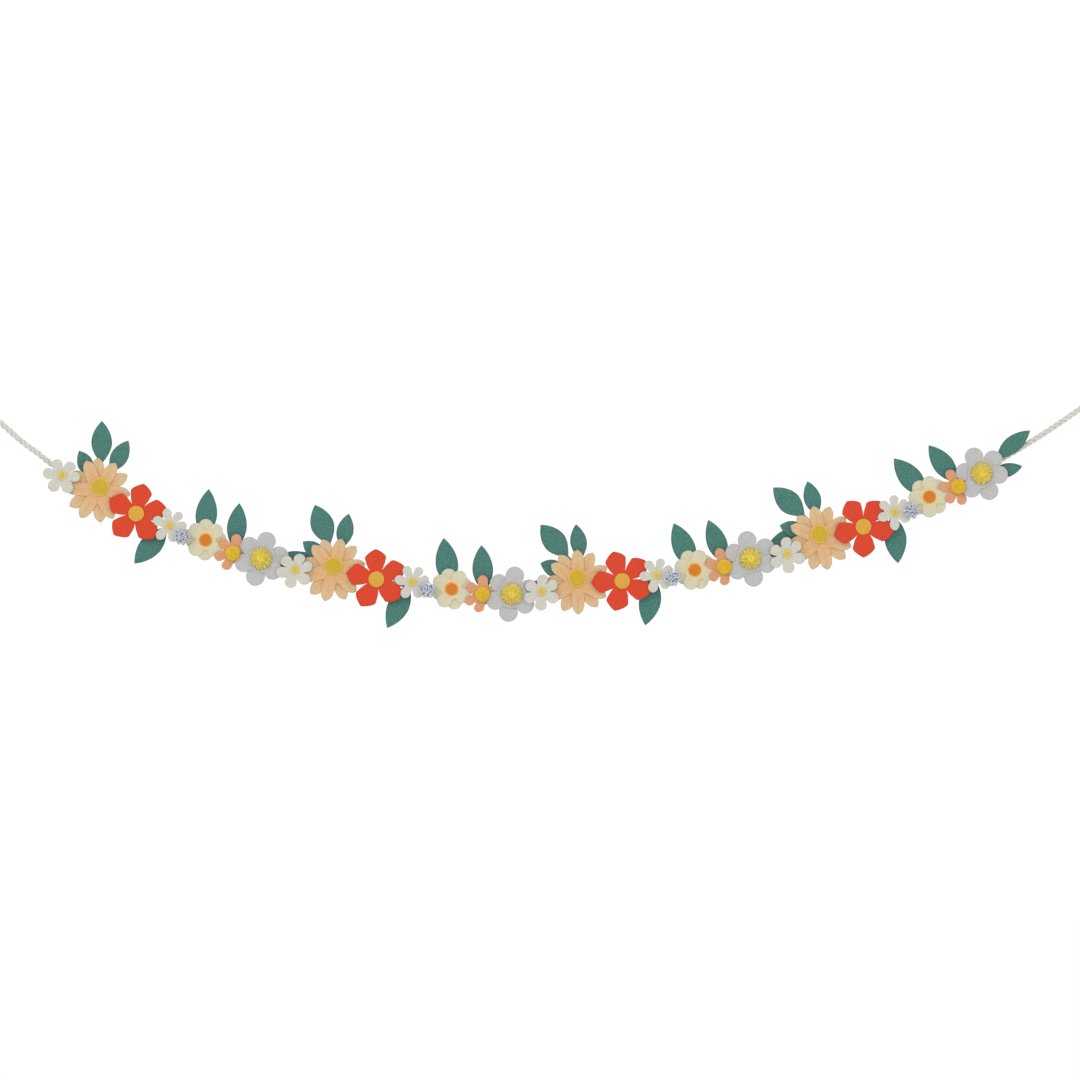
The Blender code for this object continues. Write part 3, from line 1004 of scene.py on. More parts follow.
@dataclass(frozen=True)
class FringedPompom(YarnMiddle):
    """A flat pompom whose yarn ends fan out in tiers from its middle.

    tiers lists, for each one, how many yarns, where they start and end as shares of the radius,
    and their start and end heights as shares of the depth. swirl is how far a yarn may bend
    aside in radians, arch how far it bows up, taper how much thinner it ends.
    """

    yarn: float = 0.46
    finish: Finish = Finish.POMPOM
    fill: float = 0.5
    core_finish: Finish | None = Finish.POMPOM_CORE
    core: tuple[float, float, float, tuple[int, int]] = (0.70, 0.80, 0.05, (24, 12))
    swirl: float = 0.16
    arch: float = 0.10
    taper: float = 0.45
    steps: int = 5
    tiers: tuple[tuple[int, float, float, float, float], ...] = (
        (64, 0.40, 1.02, 0.42, 0.06), (52, 0.30, 0.87, 0.62, 0.27), (38, 0.16, 0.70, 0.82, 0.58),
        (24, 0.04, 0.48, 0.96, 0.84))

    def add_yarn(self, shape: Shape, chance: Random) -> None:
        """Adds the fringe.

        Args:
            shape: the mesh to add to.
            chance: makes the yarns uneven.
        """
        for count, start, end, low, high in self.tiers:
            for number in range(count):
                angle = 2 * pi * (number + chance.uniform(-0.3, 0.3)) / count
                swirl = chance.uniform(-self.swirl, self.swirl)
                reach = end * chance.uniform(0.86, 1.03)
                lift = chance.uniform(-0.04, 0.05)
                line = []
                for step in range(self.steps + 1):
                    t = step / self.steps
                    out = start + (reach - start) * t
                    up = low + (high - low) * t**1.6 + self.arch * sin(pi * t) + lift
                    spot = on_circle(angle + swirl * t, out * self.radius)
                    line.append(Vector((*spot, max(0.05, up) * self.depth)))
                add_tube(shape, line, lambda share: self.yarn * (1 - self.taper * share**1.5))


@dataclass(frozen=True)
class LoopedTuft(YarnMiddle):
    """A small tuft of curled yarn loops round a core whose dark colour is painted shade between the loops.

    sizes are the smallest and largest loop's radius, and golden_turn is the angle from one loop
    to the next.
    """

    yarn: float = 0.74
    finish: Finish = Finish.LILAC
    fill: float = 0.4
    core_finish: Finish | None = Finish.LILAC_CORE
    core: tuple[float, float, float, tuple[int, int]] = (0.70, 0.66, 0.04, (16, 10))
    loops: int = 24
    sizes: Point = (2.4, 3.4)
    steps: int = 12
    golden_turn: float = 2.39996

    def add_yarn(self, shape: Shape, chance: Random) -> None:
        """Adds the loops.

        Args:
            shape: the mesh to add to.
            chance: picks the loops.
        """
        for number in range(self.loops):
            up = (number + 0.5) / self.loops
            angle = number * self.golden_turn + chance.uniform(-0.3, 0.3)
            aim = Vector((*on_circle(angle, sqrt(1 - up * up)), up))
            side = aim.orthogonal().normalized()
            side.rotate(Matrix.Rotation(chance.uniform(0, 2 * pi), 3, aim))
            size = chance.uniform(*self.sizes)
            base = self.radius - size - self.yarn
            line = []
            for about in angles_round(self.steps):
                spot = aim * (base + size * (0.25 + cos(about))) + side * (0.75 * size * sin(about))
                spot += aim.cross(side) * (0.35 * size * sin(2 * about + number))
                spot.z = max(0.3, spot.z * self.depth / self.radius)
                line.append(spot)
            add_tube(shape, line, self.yarn, closed=True)


# ---------------------------------------------------------------- blooms


@dataclass(frozen=True)
class Bloom:
    """One kind of bloom: felt layers from back to front, then what sits in its middle.

    kind begins the CAD nodes' names; layers gives each layer's name, height in front of the
    cord and cut; middles gives each middle's name, foot height, CAD kind and maker.
    """

    kind: str
    felt: Finish
    layers: tuple[tuple[str, float, PetalLayer], ...]
    middles: tuple[tuple[str, float, str, Middle], ...]

    def build(self, number: int, x: float, z: float, turn: float) -> float:
        """Builds one bloom of this kind.

        Args:
            number: which of the four it is.
            x: its middle's distance right of the left loop.
            z: its middle's height above the left loop.
            turn: its turn in degrees.

        Returns:
            How far its back is in front of the cord's middle.
        """
        node = f"{self.kind}_{number}"
        for name, height, cut in self.layers:
            place = Place(x, z, height, turn)
            cut.build(f"{node}_{name}", node, self.felt, place, seed=7 * number + len(name))
        for name, foot, kind, middle in self.middles:
            middle.build(f"{node}_{name}", f"{kind}_{number}", Place(x, z, foot, turn), seed=11 * number)
        _, height, back = self.layers[0]
        return height - back.thick / 2


WHITE_DAISY = Bloom(
    "white_daisy", Finish.WHITE,
    layers=(("felt", 12.2, PetalLayer(
        6, 18.3, 9.2, lobe=5.6, swings=(5, -10, -4, -8, -1, 7), sizes=(1.05, 1.0, 0.95, 1.0, 0.97, 1.04),
        curl=Curl(tip=0.5, cup=0.5, wave=0.35))),),
    middles=(("dot", 12.7, "white_daisy", FeltedDot(5.2, 1.4, (1.2, 1.0))),))
PEACH_TIP = ((0.0, 1.0), (0.05, 0.985), (0.17, 0.945), (0.32, 0.88), (0.47, 0.77), (0.60, 0.64),
             (0.76, 0.50), (1.0, 0.40))
PEACH_CURL = Curl(tip=0.9, cup=0.8, crease=0.6, wave=0.30)
PEACH_DAISY = Bloom(
    "peach_daisy", Finish.PEACH,
    layers=(
        ("back", 6.1, PetalLayer(
            6, 32.6, 13.0, profile=PEACH_TIP, swings=(1, 4, -3, 2, 7, -2), start=30,
            sizes=(1.02, 1.0, 0.97, 1.02, 0.985, 1.0), curl=PEACH_CURL, fold=0.45)),
        ("front", 7.3, PetalLayer(
            6, 32.6, 13.0, profile=PEACH_TIP, swings=(-4, 0, -5, -1, 0, 1),
            sizes=(1.0, 1.0, 1.0, 1.04, 1.0, 0.98), curl=PEACH_CURL, fold=0.45))),
    middles=(
        ("ring", 7.8, "peach_daisy", FeltDisc(9.4, 1.1, Finish.PEACH_RING, 0.25, (1.6, 3.7))),
        ("disc", 8.95, "peach_daisy", FeltDisc(7.5, 0.9, Finish.PEACH_DISC, 0.45, (1.6, 3.7)))))
RED_TIP = ((0.0, 1.0), (0.18, 0.957), (0.36, 0.91), (0.54, 0.865), (0.70, 0.815), (0.765, 0.77),
           (0.79, 0.70), (0.835, 0.63), (0.89, 0.55), (0.95, 0.44), (1.0, 0.34))
RED_BLOOM = Bloom(
    "red_bloom", Finish.RED,
    layers=(("felt", 10.2, PetalLayer(
        5, 30.4, 10.4, profile=RED_TIP, swings=(0.7, -5.5, -1.8, -1.4, 7.2),
        sizes=(1.02, 1.0, 1.0, 1.03, 1.0), curl=Curl(tip=0.5, cup=0.35, wave=0.3), thick=1.15)),),
    middles=(("disc", 10.8, "red_bloom", FeltDisc(7.9, 1.1, Finish.OCHRE)),))
SMALL_DAISY = Bloom(
    "small_daisy", Finish.WHITE,
    layers=(("felt", 12.1, PetalLayer(
        6, 17.0, 7.4, lobe=4.7, swings=(14, 2, -3, -8, 1, 0), sizes=(1.0, 1.0, 1.03, 1.06, 1.07, 1.0),
        curl=Curl(tip=0.3, cup=0.45, wave=0.3))),),
    middles=(("dot", 12.6, "small_daisy", FeltedDot(4.9, 1.3)),))
SOFT_CURL = Curl(cup=0.2, wave=0.2)
CREAM_BLOOM = Bloom(
    "cream_bloom", Finish.CREAM,
    layers=(
        ("back", 5.8, PetalLayer(
            4, 20.8, 10.5, lobe=7.6, swings=(4, -1, 3, -3), sizes=(1.0, 1.0, 0.97, 1.0), curl=SOFT_CURL)),
        ("front", 6.9, PetalLayer(
            4, 20.8, 10.5, lobe=7.6, swings=(-4, 0, -3, 0), start=45, curl=SOFT_CURL))),
    middles=(("disc", 7.45, "cream_bloom", FeltDisc(6.1, 1.1, Finish.ORANGE)),))
CORAL_BLOOM = Bloom(
    "coral_bloom", Finish.CORAL,
    layers=(("felt", 8.4, PetalLayer(
        6, 18.6, 10.0, lobe=5.1, swings=(-4, 4, 1, 1, -12.5, -3), sizes=(1.0, 1.04, 0.98, 1.04, 1.0, 1.0),
        curl=Curl(cup=0.15, wave=0.15), thick=1.1)),),
    middles=(("dome", 11.3, "coral_button", ThreadDome(7.7, 6.2)),))
GREY_BLOOM = Bloom(
    "grey_bloom", Finish.GREY,
    layers=(
        ("back", 9.8, PetalLayer(
            3, 27.6, 14.0, lobe=9.4, swings=(-4, 0, -1), sizes=(1.0, 0.935, 1.02), curl=SOFT_CURL)),
        ("front", 10.9, PetalLayer(
            3, 27.6, 14.0, lobe=9.4, swings=(0, 1.5, 1), start=60, sizes=(1.0, 0.97, 0.94),
            curl=SOFT_CURL))),
    middles=(("pompom", 11.4, "grey_pompom", FringedPompom(11.8, 9.2)),))

# Each bloom's middle, as x and z from the left loop, and its turn in degrees.
BLOOM_PLACES: tuple[tuple[Bloom, tuple[tuple[float, float, float], ...]], ...] = (
    (WHITE_DAISY, ((95.3, -80.3, -6), (328.4, -174.7, 14), (575.0, -196.8, 31), (820.4, -159.4, 40))),
    (PEACH_DAISY, ((132.0, -94.4, -3), (367.2, -174.0, 15), (611.8, -185.9, 31), (854.8, -142.0, 43))),
    (RED_BLOOM, ((170.4, -117.6, 9), (410.5, -183.2, 25), (656.2, -184.9, 41), (897.2, -130.7, 56))),
    (SMALL_DAISY, ((204.0, -129.6, -15), (446.4, -186.2, -3), (690.9, -179.1, 12), (928.3, -116.1, 30))),
    (CREAM_BLOOM, ((239.4, -144.0, 0), (485.6, -193.0, 14), (728.8, -173.9, 30), (963.6, -100.8, 48))),
    (CORAL_BLOOM, ((267.1, -157.0, 13), (516.6, -198.4, 26), (758.1, -170.8, 44), (991.9, -90.6, 58))),
    (GREY_BLOOM, ((295.3, -162.6, 13), (545.8, -198.0, 20.5), (784.4, -162.6, 40.5), (1015.5, -77.6, 54.5))),
)
TUFT = LoopedTuft(8.3, 7.6)
TUFT_FOOT = 13.4
TUFT_PLACES = ((216.4, -140.8, 0), (461.2, -194.0, 20), (706.4, -181.7, 35), (944.7, -114.8, 50))


# ---------------------------------------------------------------- leaves


# How far in front of the cord the single leaves, the sprigs and the leaves behind them lie.
LEAF_HEIGHT = 4.4
SPRIG_HEIGHT = 4.72
UNDER_HEIGHT = 3.62
LEAF_THICK = 1.1
LEAF_SHAPE = ((0.0, 0.12), (0.07, 0.34), (0.14, 0.53), (0.27, 0.82), (0.42, 0.99), (0.54, 0.985),
              (0.66, 0.88), (0.77, 0.69), (0.87, 0.45), (0.95, 0.19), (1.0, 0.0))


@dataclass(frozen=True)
class Leaf:
    """One leaf cut from green felt: its direction, where its base and tip lie, and its width.

    start and base are distances from the middle that it grows from; a sprig's leaf has a stem
    between them, and a single leaf has none. lean bends the leaf aside, in degrees; fold, curl
    and wave are how far its sides, its tip and its unevenness rise.
    """

    aim: float
    base: float
    reach: float
    width: float
    lean: float = 0.0
    start: float = 12.0
    stem: float = 5.0
    fold: float = 0.5
    curl: float = 0.8
    wave: float = 0.5
    rows: int = 26
    columns: tuple[float, ...] = (-1.0, -0.86, -0.44, 0.0, 0.44, 0.86, 1.0)

    def direction(self, along: float) -> float:
        """The leaf's direction from the middle at a distance from it, in radians."""
        return radians(self.aim + self.lean * (along / self.reach - 1))

    def foot_angles(self) -> Point:
        """The directions of its stem's right and left side from the middle, in radians."""
        middle, half = self.direction(self.start), asin(self.stem / 2 / self.start)
        return middle - half, middle + half

    def stations(self) -> list[Point]:
        """Distances from the middle along the leaf, each with its half width.

        Returns:
            The stations from the base or stem to just before the tip.
        """
        length = self.reach - self.base
        line = smooth_line([Vector(row) for row in LEAF_SHAPE], 1.0 / self.rows)
        leaf = [(self.base + spot.x * length, max(0.0, spot.y) * self.width / 2) for spot in line[:-1]]
        if not self.stem:
            return leaf
        foot, neck = self.stem / 2, leaf[0][1]
        steps = max(2, round((self.base - self.start) / 2.0))
        stem = [(self.start + (self.base - self.start) * step / steps,
                 foot + (neck - foot) * ease(1.6 * step / steps)) for step in range(steps)]
        return stem + leaf

    def spot(self, along: float, aside: float, seed: int) -> Vector:
        """A point of the leaf, curled and turned to its direction.

        Args:
            along: its distance from the middle.
            aside: its distance left of the leaf's middle line.
            seed: picks the leaf's unevenness.

        Returns:
            The point in the leaf's own plane, with its rise as z.
        """
        share = max(0.0, (along - self.base) / (self.reach - self.base))
        rise = self.curl * share * share + self.fold * share * (2 * aside / self.width) ** 2
        rise += self.wave * share * noise.noise(Vector((along * 0.06, aside * 0.08, 2.3 * seed)))
        return Vector((*turned(along, aside, self.direction(along)), rise))

    def add(self, shape: Shape, seed: int) -> tuple[list[Corner], list[Vector]]:
        """Adds the leaf's surface to a mesh.

        Args:
            shape: the mesh to add to.
            seed: picks the leaf's unevenness.

        Returns:
            Its foot's points from right to left, and its outline from right to left.
        """
        painted_shade = shape.verts.layers.float.get(PAINTED_SHADE) or shape.verts.layers.float.new(PAINTED_SHADE)
        rows = []
        for along, half in self.stations():
            rows.append([shape.verts.new(self.spot(along, half * column, seed)) for column in self.columns])
            # Only the inner columns get 1; the outer columns stay at 0, so the leaf's cut edge takes the full
            # painted shade.
            for spot in rows[-1][1:-1]:
                spot[painted_shade] = 1.0
        tip = shape.verts.new(self.spot(self.reach, 0.0, seed))
        for step in range(len(self.columns) - 1):
            for low, high in zip(rows, rows[1:]):
                shape.faces.new((low[step], high[step], high[step + 1], low[step + 1]))
            shape.faces.new((rows[-1][step], tip, rows[-1][step + 1]))
        edge = [*(row[0] for row in rows), tip, *(row[-1] for row in reversed(rows))]
        return rows[0], [spot.co.copy() for spot in edge]


@dataclass(frozen=True)
class SingleLeaf:
    """A leaf sewn on by its base; x and z are its tip's place."""

    x: float
    z: float
    aim: float
    length: float
    width: float

    def foot(self) -> Point:
        """Its base's x and z."""
        across, up = on_circle(radians(self.aim), self.length)
        return self.x - across, self.z - up

    def build(self, node: str, seed: int, name: str = "felt", height: float = LEAF_HEIGHT) -> None:
        """Builds the leaf in its place.

        Args:
            node: the CAD node that it stands for.
            seed: picks its unevenness.
            name: what its name ends with.
            height: how far in front of the cord it lies.
        """
        leaf = Leaf(0.0, 0.0, self.length, self.width, start=0.0, stem=0.0,
                    fold=0.5 + 0.2 * (seed % 3), curl=0.4 + 0.35 * (seed % 4))
        shape = bmesh.new()
        length, width, area = outline_size(leaf.add(shape, seed)[1])
        matrix = Place(*self.foot(), height, self.aim).matrix()
        add_felt(f"{node}_{name}", shape, Finish.GREEN, node, matrix, LEAF_THICK)


@dataclass(frozen=True)
class Sprig:
    """Leaves on short stems cut in one with a small disc of radius hub."""

    leaves: tuple[Leaf, ...]
    hub: float = 12.0
    rim_step: float = 2.2
    inner: float = 0.55

    def build(self, node: str, x: float, z: float, seed: int) -> None:
        """Builds the sprig in its place.

        Args:
            node: the CAD node that it stands for.
            x: its disc's distance right of the left loop.
            z: its disc's height above the left loop.
            seed: picks its unevenness.
        """
        shape = bmesh.new()
        rim: list[Corner] = []
        outline: list[Vector] = []
        for number, leaf in enumerate(self.leaves):
            foot, edge = leaf.add(shape, seed + number)
            right, start = leaf.foot_angles()
            for step, spot in enumerate(foot):
                angle = right + (start - right) * step / (len(foot) - 1)
                spot.co = Vector((*on_circle(angle, self.hub), 0.0))
            rim.extend(foot)
            outline.extend(edge)
            end = self.leaves[(number + 1) % len(self.leaves)].foot_angles()[0]
            end += 2 * pi if end < start else 0.0
            steps = max(2, round((end - start) * self.hub / self.rim_step))
            for step in range(1, steps):
                spot = Vector((*on_circle(start + (end - start) * step / steps, self.hub), 0.0))
                rim.append(shape.verts.new(spot))
                outline.append(spot)
        middle = shape.verts.new((0.0, 0.0, 0.0))
        inner = [shape.verts.new(self.inner * spot.co) for spot in rim]
        # The hub's middle and inner ring get 1; the new points on its rim stay at 0 and take the painted
        # shade of the cut edge.
        painted_shade = shape.verts.layers.float[PAINTED_SHADE]
        for spot in (middle, *inner):
            spot[painted_shade] = 1.0
        join_rings(shape, [inner, rim], middle)
        matrix = Place(x, z, SPRIG_HEIGHT).matrix()
        flat = outline_size(outline)
        add_felt(node + "_felt", shape, Finish.GREEN, node, matrix, LEAF_THICK)


LEAVES: dict[str, tuple[SingleLeaf, ...]] = {
    "red_leaf": (SingleLeaf(168.0, -167.6, 228, 48, 21.6), SingleLeaf(421.0, -232.2, 243, 48, 21.4),
                 SingleLeaf(679.4, -229.5, 259, 48, 21.8), SingleLeaf(932.4, -167.3, 276, 48, 22.0)),
    "cream_leaf": (SingleLeaf(242.6, -92.9, 84.2, 50, 21.4), SingleLeaf(477.6, -141.9, 97, 50, 22.4),
                   SingleLeaf(707.9, -127.1, 113, 50, 22.4), SingleLeaf(928.1, -62.4, 131, 50, 22.2)),
    "coral_leaf": (SingleLeaf(273.1, -107.0, 84, 47, 19.6), SingleLeaf(515.4, -149.0, 93, 47, 20.6),
                   SingleLeaf(742.4, -123.9, 111, 47, 20.0), SingleLeaf(963.0, -49.2, 127.7, 47, 20.4)),
}
# Leaves laid behind the sprigs, one to a sprig.
UNDER_LEAVES = (SingleLeaf(96.0, -80.0, 170, 30, 10.4), SingleLeaf(300.3, -178.7, 205, 48, 24.0),
                SingleLeaf(545.3, -208.2, 210, 48, 18.5), SingleLeaf(799.1, -173.2, 235, 52, 22.5))
SPRIG_PLACES = ((134.8, -91.2), (371.3, -170.0), (617.5, -179.5), (856.2, -136.0))
DAISY_SPRIGS = (
    Sprig((Leaf(59.8, 18.5, 54.2, 17.4, 1.2), Leaf(89.4, 24.8, 66.4, 20.6),
           Leaf(121.2, 15.4, 42.7, 15.8, -9))),
    Sprig((Leaf(77.8, 18.6, 53.6, 16.8), Leaf(110.2, 23.8, 65.2, 23.2), Leaf(145.1, 15.1, 42.4, 15.8, -2))),
    Sprig((Leaf(98.3, 16.9, 51.9, 16.6), Leaf(130.2, 25.0, 66.5, 22.8), Leaf(164.1, 17.7, 44.9, 17.0, -9))),
    Sprig((Leaf(105.9, 17.9, 52.9, 17.0), Leaf(137.7, 24.6, 66.1, 22.4), Leaf(171.5, 15.9, 42.9, 16.0, -8))),
)
END_SPRIG_PLACE = (1013.0, -81.5)
END_SPRIG = Sprig((Leaf(14.5, 13.2, 45.2, 14.0), Leaf(42.5, 26.8, 69.8, 16.6, -5.5)))


# ---------------------------------------------------------------- cord, loops and sewing


CORD_ROUTE = (
    (19.5, -14.8), (34.0, -27.0), (54.0, -44.7), (70.6, -57.0), (85.0, -68.2), (109.0, -84.0),
    (136.0, -98.5), (171.0, -115.5), (204.0, -130.0), (239.0, -143.5), (274.0, -155.0),
    (309.0, -165.0), (344.0, -173.5), (379.0, -180.0), (414.0, -185.5), (449.0, -190.0),
    (484.0, -193.5), (519.0, -195.8), (554.0, -196.5), (589.0, -195.5), (624.0, -193.0),
    (659.0, -189.0), (694.0, -183.5), (729.0, -176.8), (764.0, -169.0), (799.0, -160.0),
    (834.0, -149.5), (869.0, -138.0), (904.0, -125.0), (939.0, -110.5), (974.0, -95.0),
    (1006.0, -79.0), (1036.0, -63.2), (1062.0, -48.0), (1087.0, -32.0), (1109.0, -17.0),
    (1125.9, -5.0),
)
FORWARD = Vector((0.0, -1.0, 0.0))
DOWN = Vector((0.0, 0.0, -1.0))


def route_line(step: float) -> list[Vector]:
    """The cord's centre line in the row's frame, in millimetres, with points a step apart."""
    return smooth_line([Vector((x, 0.0, z)) for x, z in CORD_ROUTE], step)


@dataclass(frozen=True)
class LaidRope:
    """Rope laid from three strands, each spun from six yarns.

    pitch is the length of one full turn of a strand; helix and strand are how far a strand lies
    from the rope's middle and how thick it is, as shares of the diameter; ends opens the
    strands at the far end.
    """

    diameter: float
    pitch: float = 18.0
    ends: float = 0.0
    strands: int = 3
    yarns: int = 6
    points: int = 18
    helix: float = 0.258
    strand: float = 0.242

    def add(self, shape: Shape, line: Sequence[Vector]) -> None:
        """Adds the rope along a line.

        Args:
            shape: the mesh to add to.
            line: the rope's centre line, with points closer than a strand's width.
        """
        stations = list(zip(frames_along(line), run_along(line)))
        for number in range(self.strands):
            rings = []
            for index, ((spot, right, up), far) in enumerate(stations):
                lay = 2 * pi * (far / self.pitch + number / self.strands)
                flare = 1 + self.ends * ease((index / (len(line) - 1) - 0.6) / 0.4)
                out = self.helix * self.diameter * flare
                centre = spot + out * (cos(lay) * right + sin(lay) * up)
                rings.append([])
                for angle in angles_round(self.points):
                    thick = self.strand * self.diameter * (1 + 0.07 * cos(self.yarns * (angle + 0.35 * lay)))
                    rings[-1].append(shape.verts.new(centre + thick * (cos(angle) * right + sin(angle) * up)))
            skin_tube(shape, rings)


@dataclass(frozen=True)
class HangingLoop:
    """A loop tied at one end of the cord: its middle, its knot and its short free end.

    toward is where the cord leaves the knot, radius the loop's, distance its middle to the
    knot's, gap half the space between its two legs at the knot; wraps is how many turns the
    knot has, coil and length their radius and run, and step the distance between the points
    of its ropes.
    """

    name: str
    middle: Point
    toward: Point
    radius: float = 11.0
    distance: float = 17.5
    gap: float = 1.4
    wraps: float = 2.6
    coil: float = 3.9
    length: float = 7.6
    tail: float = 15.0
    rope: LaidRope = LaidRope(5.6)
    coil_rope: LaidRope = LaidRope(4.6, 13.0)
    tail_rope: LaidRope = LaidRope(4.6, 13.0, ends=0.28)
    step: float = 0.9
    bow_steps: int = 32
    coil_steps: int = 60
    tail_steps: int = 14

    def build(self) -> Piece:
        """Builds the loop, its knot and its tail as one piece.

        Returns:
            The piece.
        """
        heading = (Vector(self.toward) - Vector(self.middle)).normalized()
        ahead = Vector((heading.x, 0.0, heading.y))
        side = Vector((-heading.y, 0.0, heading.x))
        middle = Vector((self.middle[0], 0.0, self.middle[1]))
        knot = middle + ahead * self.distance
        shape = bmesh.new()
        opening = acos(self.radius / self.distance)
        bow = [knot + side * self.gap + ahead * 2.0]
        for step in range(self.bow_steps + 1):
            angle = opening + (2 * pi - 2 * opening) * step / self.bow_steps
            bow.append(middle + self.radius * (cos(angle) * ahead + sin(angle) * side))
        bow.append(knot - side * self.gap + ahead * 2.0)
        self.rope.add(shape, smooth_line(bow, self.step))
        coil = []
        for step in range(self.coil_steps + 1):
            share = step / self.coil_steps
            right, up = on_circle(2 * pi * self.wraps * share, self.coil)
            coil.append(knot + ahead * (self.length * (share - 0.5)) + right * side - up * FORWARD)
        self.coil_rope.add(shape, smooth_line(coil, self.step))
        end = [knot + DOWN * (self.tail * step / self.tail_steps) + Vector((0.25 * sin(step * 0.5), 0.0, 0.0))
               for step in range(2, self.tail_steps + 1)]
        self.tail_rope.add(shape, smooth_line(end, 0.8))
        return piece_from(self.name + "_rope", shape, Finish.CORD, self.name)


@dataclass(frozen=True)
class GarlandCord:
    """The cord between the two knots."""

    rope: LaidRope = LaidRope(6.0)

    def build(self, loops: Sequence[Piece]) -> None:
        """Args:
            loops: the tied loops on its ends; not used.
        """
        line = route_line(1.05)
        shape = bmesh.new()
        self.rope.add(shape, line)
        piece = piece_from("cord_rope", shape, Finish.CORD, "cord")


@dataclass(frozen=True)
class Sewing:
    """Thread that ties the blooms and leaves to the cord, as one piece for each group.

    turns and reach are how often the thread goes round the cord and how far in front of its
    middle it passes there: first for a bloom, then for a leaf, which it holds too. pitch is
    from one turn to the next, hold how far from the cord's middle the thread lies elsewhere.
    """

    thread: float = 0.34
    shank: float = 2.3
    turns: tuple[int, int] = (4, 3)
    reach: Point = (3.3, 5.05)
    pitch: float = 0.95
    hold: Point = (3.35, 3.3)
    steps: int = 20
    shank_foot: float = 2.2
    shank_pitch: float = 0.72

    def bind(self, shape: Shape, spot: Vector, along: Vector, leaf: bool) -> None:
        """Adds turns of thread round the cord.

        Args:
            shape: the mesh to add to.
            spot: the place on the cord's centre line.
            along: the cord's direction there.
            leaf: whether the thread holds a leaf.
        """
        across = along.cross(FORWARD).normalized()
        for turn in range(self.turns[leaf]):
            shift = along * (self.pitch * (turn - (self.turns[leaf] - 1) / 2))
            line = []
            for angle in angles_round(self.steps):
                reach = self.reach[leaf] if cos(angle) > 0 else self.hold[1]
                bulge = self.hold[0] * (abs(sin(angle)) ** 0.8) * (1 if sin(angle) >= 0 else -1)
                line.append(spot + shift + across * bulge + FORWARD * (reach * cos(angle)))
            add_tube(shape, line, self.thread, closed=True)

    def add_shank(self, shape: Shape, spot: Vector, end: float) -> None:
        """Adds a wound thread shank between the cord and a bloom's back.

        Args:
            shape: the mesh to add to.
            spot: the shank's foot on the cord's centre line.
            end: how far in front of the cord's centre it ends.
        """
        height = end - self.shank_foot
        turns = height / self.shank_pitch
        steps = max(10, round(turns * 10))
        foot = spot + FORWARD * self.shank_foot
        line = []
        for step in range(steps + 1):
            x, z = on_circle(2 * pi * turns * step / steps, self.shank)
            line.append(foot + Vector((x, -height * step / steps, z)))
        add_tube(shape, line, self.thread + 0.06)
        add_tube(shape, [foot + FORWARD * (height * step / 4) for step in range(5)], self.shank, sides=10)

    def build(self, name: str, blooms: Sequence[tuple[float, float, float]],
              leaves: Sequence[Point]) -> None:
        """Builds one group's thread.

        Args:
            name: the piece's name.
            blooms: each bloom's x and z, and how far in front of the cord its back is.
            leaves: each leaf's or sprig's foot.
        """
        line = route_line(2.0)
        shape = bmesh.new()
        for x, z, back in [*blooms, *((x, z, 0.0) for x, z in leaves)]:
            near = min(range(1, len(line) - 1), key=lambda index: (line[index] - Vector((x, 0.0, z))).length)
            along = (line[near + 1] - line[near - 1]).normalized()
            self.bind(shape, line[near], along, leaf=not back)
            if back:
                self.add_shank(shape, line[near], back)
        piece_from(name, shape, Finish.TACK, None)


# ---------------------------------------------------------------- studio


@dataclass(frozen=True)
class Softbox:
    """One large soft light: its name, place, width and power in watts, in metres."""

    name: str
    spot: tuple[float, float, float]
    size: float
    power: float

    def build(self, aim: Vector) -> None:
        """Hangs the light.

        Args:
            aim: what it faces.
        """
        data = bpy.data.lights.new(self.name, "AREA")
        data.size = self.size
        data.energy = self.power
        box = bpy.data.objects.new(self.name, data)
        box.location = self.spot
        box.rotation_euler = (aim - Vector(self.spot)).to_track_quat("-Z", "Y").to_euler()
        bpy.context.scene.collection.objects.link(box)


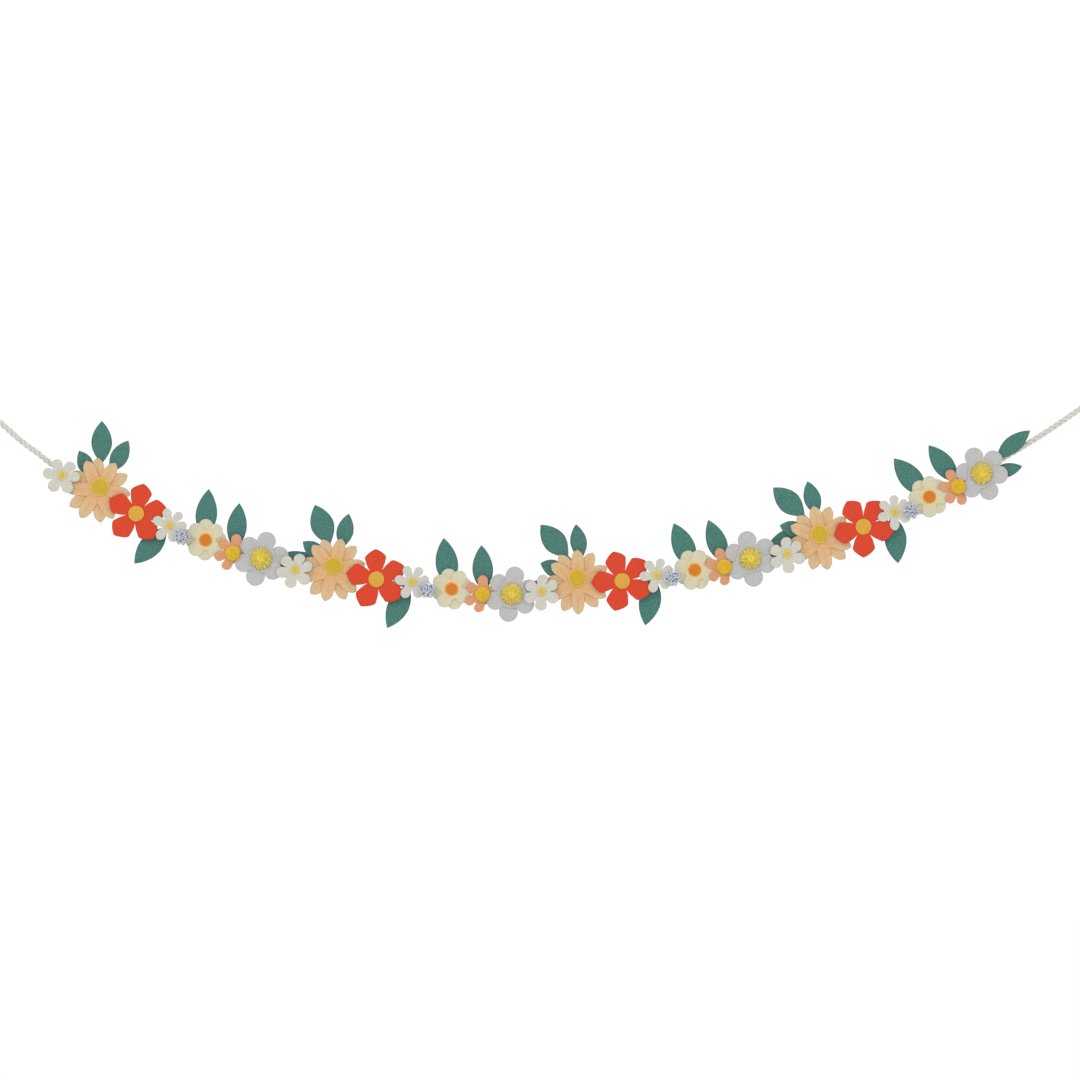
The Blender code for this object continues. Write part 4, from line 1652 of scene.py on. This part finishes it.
@dataclass(frozen=True)
class Studio:
    """The camera, the soft lights and the pale floor, in metres.

    fade is how far from its middle the floor starts and ends its change to white.
    """

    lens: float = 135.0
    sensor: float = 36.0
    eye: tuple[float, float, float] = (0.574, -4.059, -0.144)
    floor_height: float = -1.25
    floor_radius: float = 8.0
    fade: Point = (1.2, 2.6)
    ambient: float = 0.72
    backdrop: float = 1.05
    softboxes: tuple[Softbox, ...] = (
        Softbox("front_softbox", (-0.9, -3.4, 1.7), 2.6, 46.0),
        Softbox("side_softbox", (2.6, -2.6, 0.6), 2.2, 14.0))

    def place_camera(self) -> None:
        """Puts the camera straight in front of the garland and makes it the scene's."""
        data = bpy.data.cameras.new("front_camera")
        data.lens = self.lens
        data.sensor_width = self.sensor
        data.clip_end = 60.0
        camera = bpy.data.objects.new("front_camera", data)
        camera.location = self.eye
        camera.rotation_euler = (pi / 2, 0.0, 0.0)
        bpy.context.scene.collection.objects.link(camera)
        bpy.context.scene.camera = camera
        bpy.context.scene.view_settings.view_transform = "Standard"

    def light_sky(self) -> None:
        """Surrounds the scene with soft white light and a white view."""
        world = bpy.data.worlds.new("soft_white_room")
        world.use_nodes = True
        world.node_tree.nodes.clear()
        shader = Shader(world)
        mix = shader.node("MixShader")
        for number, strength in ((1, self.ambient), (2, self.backdrop)):
            light = shader.node("Background", strength=strength)
            light.inputs["Color"].default_value = WHITE_LIGHT
            shader.link(light.outputs["Background"], mix.inputs[number])
        shader.link(shader.node("LightPath").outputs["Is Camera Ray"], mix.inputs["Fac"])
        shader.link(mix.outputs["Shader"], shader.node("OutputWorld").inputs["Surface"])
        bpy.context.scene.world = world

    def floor_finish(self) -> Material:
        """Makes the floor's matt finish, which turns to plain white toward its rim.

        Returns:
            The material.
        """
        material = bpy.data.materials.new("pale_floor")
        material.use_nodes = True
        shader = Shader(material)
        matt = material.node_tree.nodes["Principled BSDF"]
        matt.inputs["Base Color"].default_value = (0.86, 0.86, 0.85, 1.0)
        matt.inputs["Roughness"].default_value = 0.9
        glow = shader.node("Emission", strength=1.0)
        glow.inputs["Color"].default_value = WHITE_LIGHT
        share = shader.node("MapRange", interpolation_type="SMOOTHSTEP")
        share.inputs["From Min"].default_value = self.fade[0]
        share.inputs["From Max"].default_value = self.fade[1]
        shader.link(shader.from_middle(1.0), share.inputs["Value"])
        mix = shader.node("MixShader")
        shader.link(share.outputs["Result"], mix.inputs["Fac"])
        shader.link(matt.outputs["BSDF"], mix.inputs[1])
        shader.link(glow.outputs["Emission"], mix.inputs[2])
        shader.link(mix.outputs["Shader"], material.node_tree.nodes["Material Output"].inputs["Surface"])
        return material

    def lay_floor(self) -> None:
        """Lays the round floor."""
        shape = bmesh.new()
        bmesh.ops.create_circle(shape, cap_ends=True, segments=96, radius=self.floor_radius)
        mesh = bpy.data.meshes.new("floor")
        shape.to_mesh(mesh)
        shape.free()
        mesh.materials.append(self.floor_finish())
        floor = bpy.data.objects.new("floor", mesh)
        floor.location = (self.eye[0], 0.0, self.floor_height)
        bpy.context.scene.collection.objects.link(floor)

    def build(self) -> None:
        """Sets up the whole studio."""
        self.place_camera()
        self.light_sky()
        for softbox in self.softboxes:
            softbox.build(Vector((self.eye[0], 0.0, self.eye[2])))
        self.lay_floor()


# ---------------------------------------------------------------- the whole garland


def build_group(number: int) -> None:
    """Builds one of the four groups of blooms, tufts and leaves.

    Args:
        number: the group's number from 1 to 4.
    """
    index = number - 1
    sewn, feet = [], []
    for bloom, places in BLOOM_PLACES:
        x, z, turn = places[index]
        sewn.append((x, z, bloom.build(number, x, z, turn)))
    x, z, turn = TUFT_PLACES[index]
    TUFT.build(f"lilac_tuft_{number}_loops", f"lilac_tuft_{number}", Place(x, z, TUFT_FOOT, turn), number)
    for kind, leaves in LEAVES.items():
        leaves[index].build(f"{kind}_{number}", seed=3 * number + len(kind))
        feet.append(leaves[index].foot())
    sprig = f"daisy_sprig_{number}"
    DAISY_SPRIGS[index].build(sprig, *SPRIG_PLACES[index], seed=number)
    UNDER_LEAVES[index].build(sprig, number, "under_leaf", UNDER_HEIGHT)
    Sewing().build(f"sewing_thread_{number}", sewn, [*feet, SPRIG_PLACES[index]])


def main() -> None:
    """Builds the studio, the cord, the loops and the four groups."""
    logging.basicConfig(level=logging.INFO, format="%(name)s: %(message)s")
    Studio().build()
    loops = [HangingLoop("left_loop", (0.0, 0.0), CORD_ROUTE[0]).build(),
             HangingLoop("right_loop", (1145.5, 9.5), CORD_ROUTE[-1]).build()]
    GarlandCord().build(loops)
    for number in range(1, 5):
        build_group(number)
    END_SPRIG.build("end_sprig", *END_SPRIG_PLACE, seed=5)
    Sewing().build("sewing_thread_end", (), [END_SPRIG_PLACE])


if __name__ == "__main__":
    main()
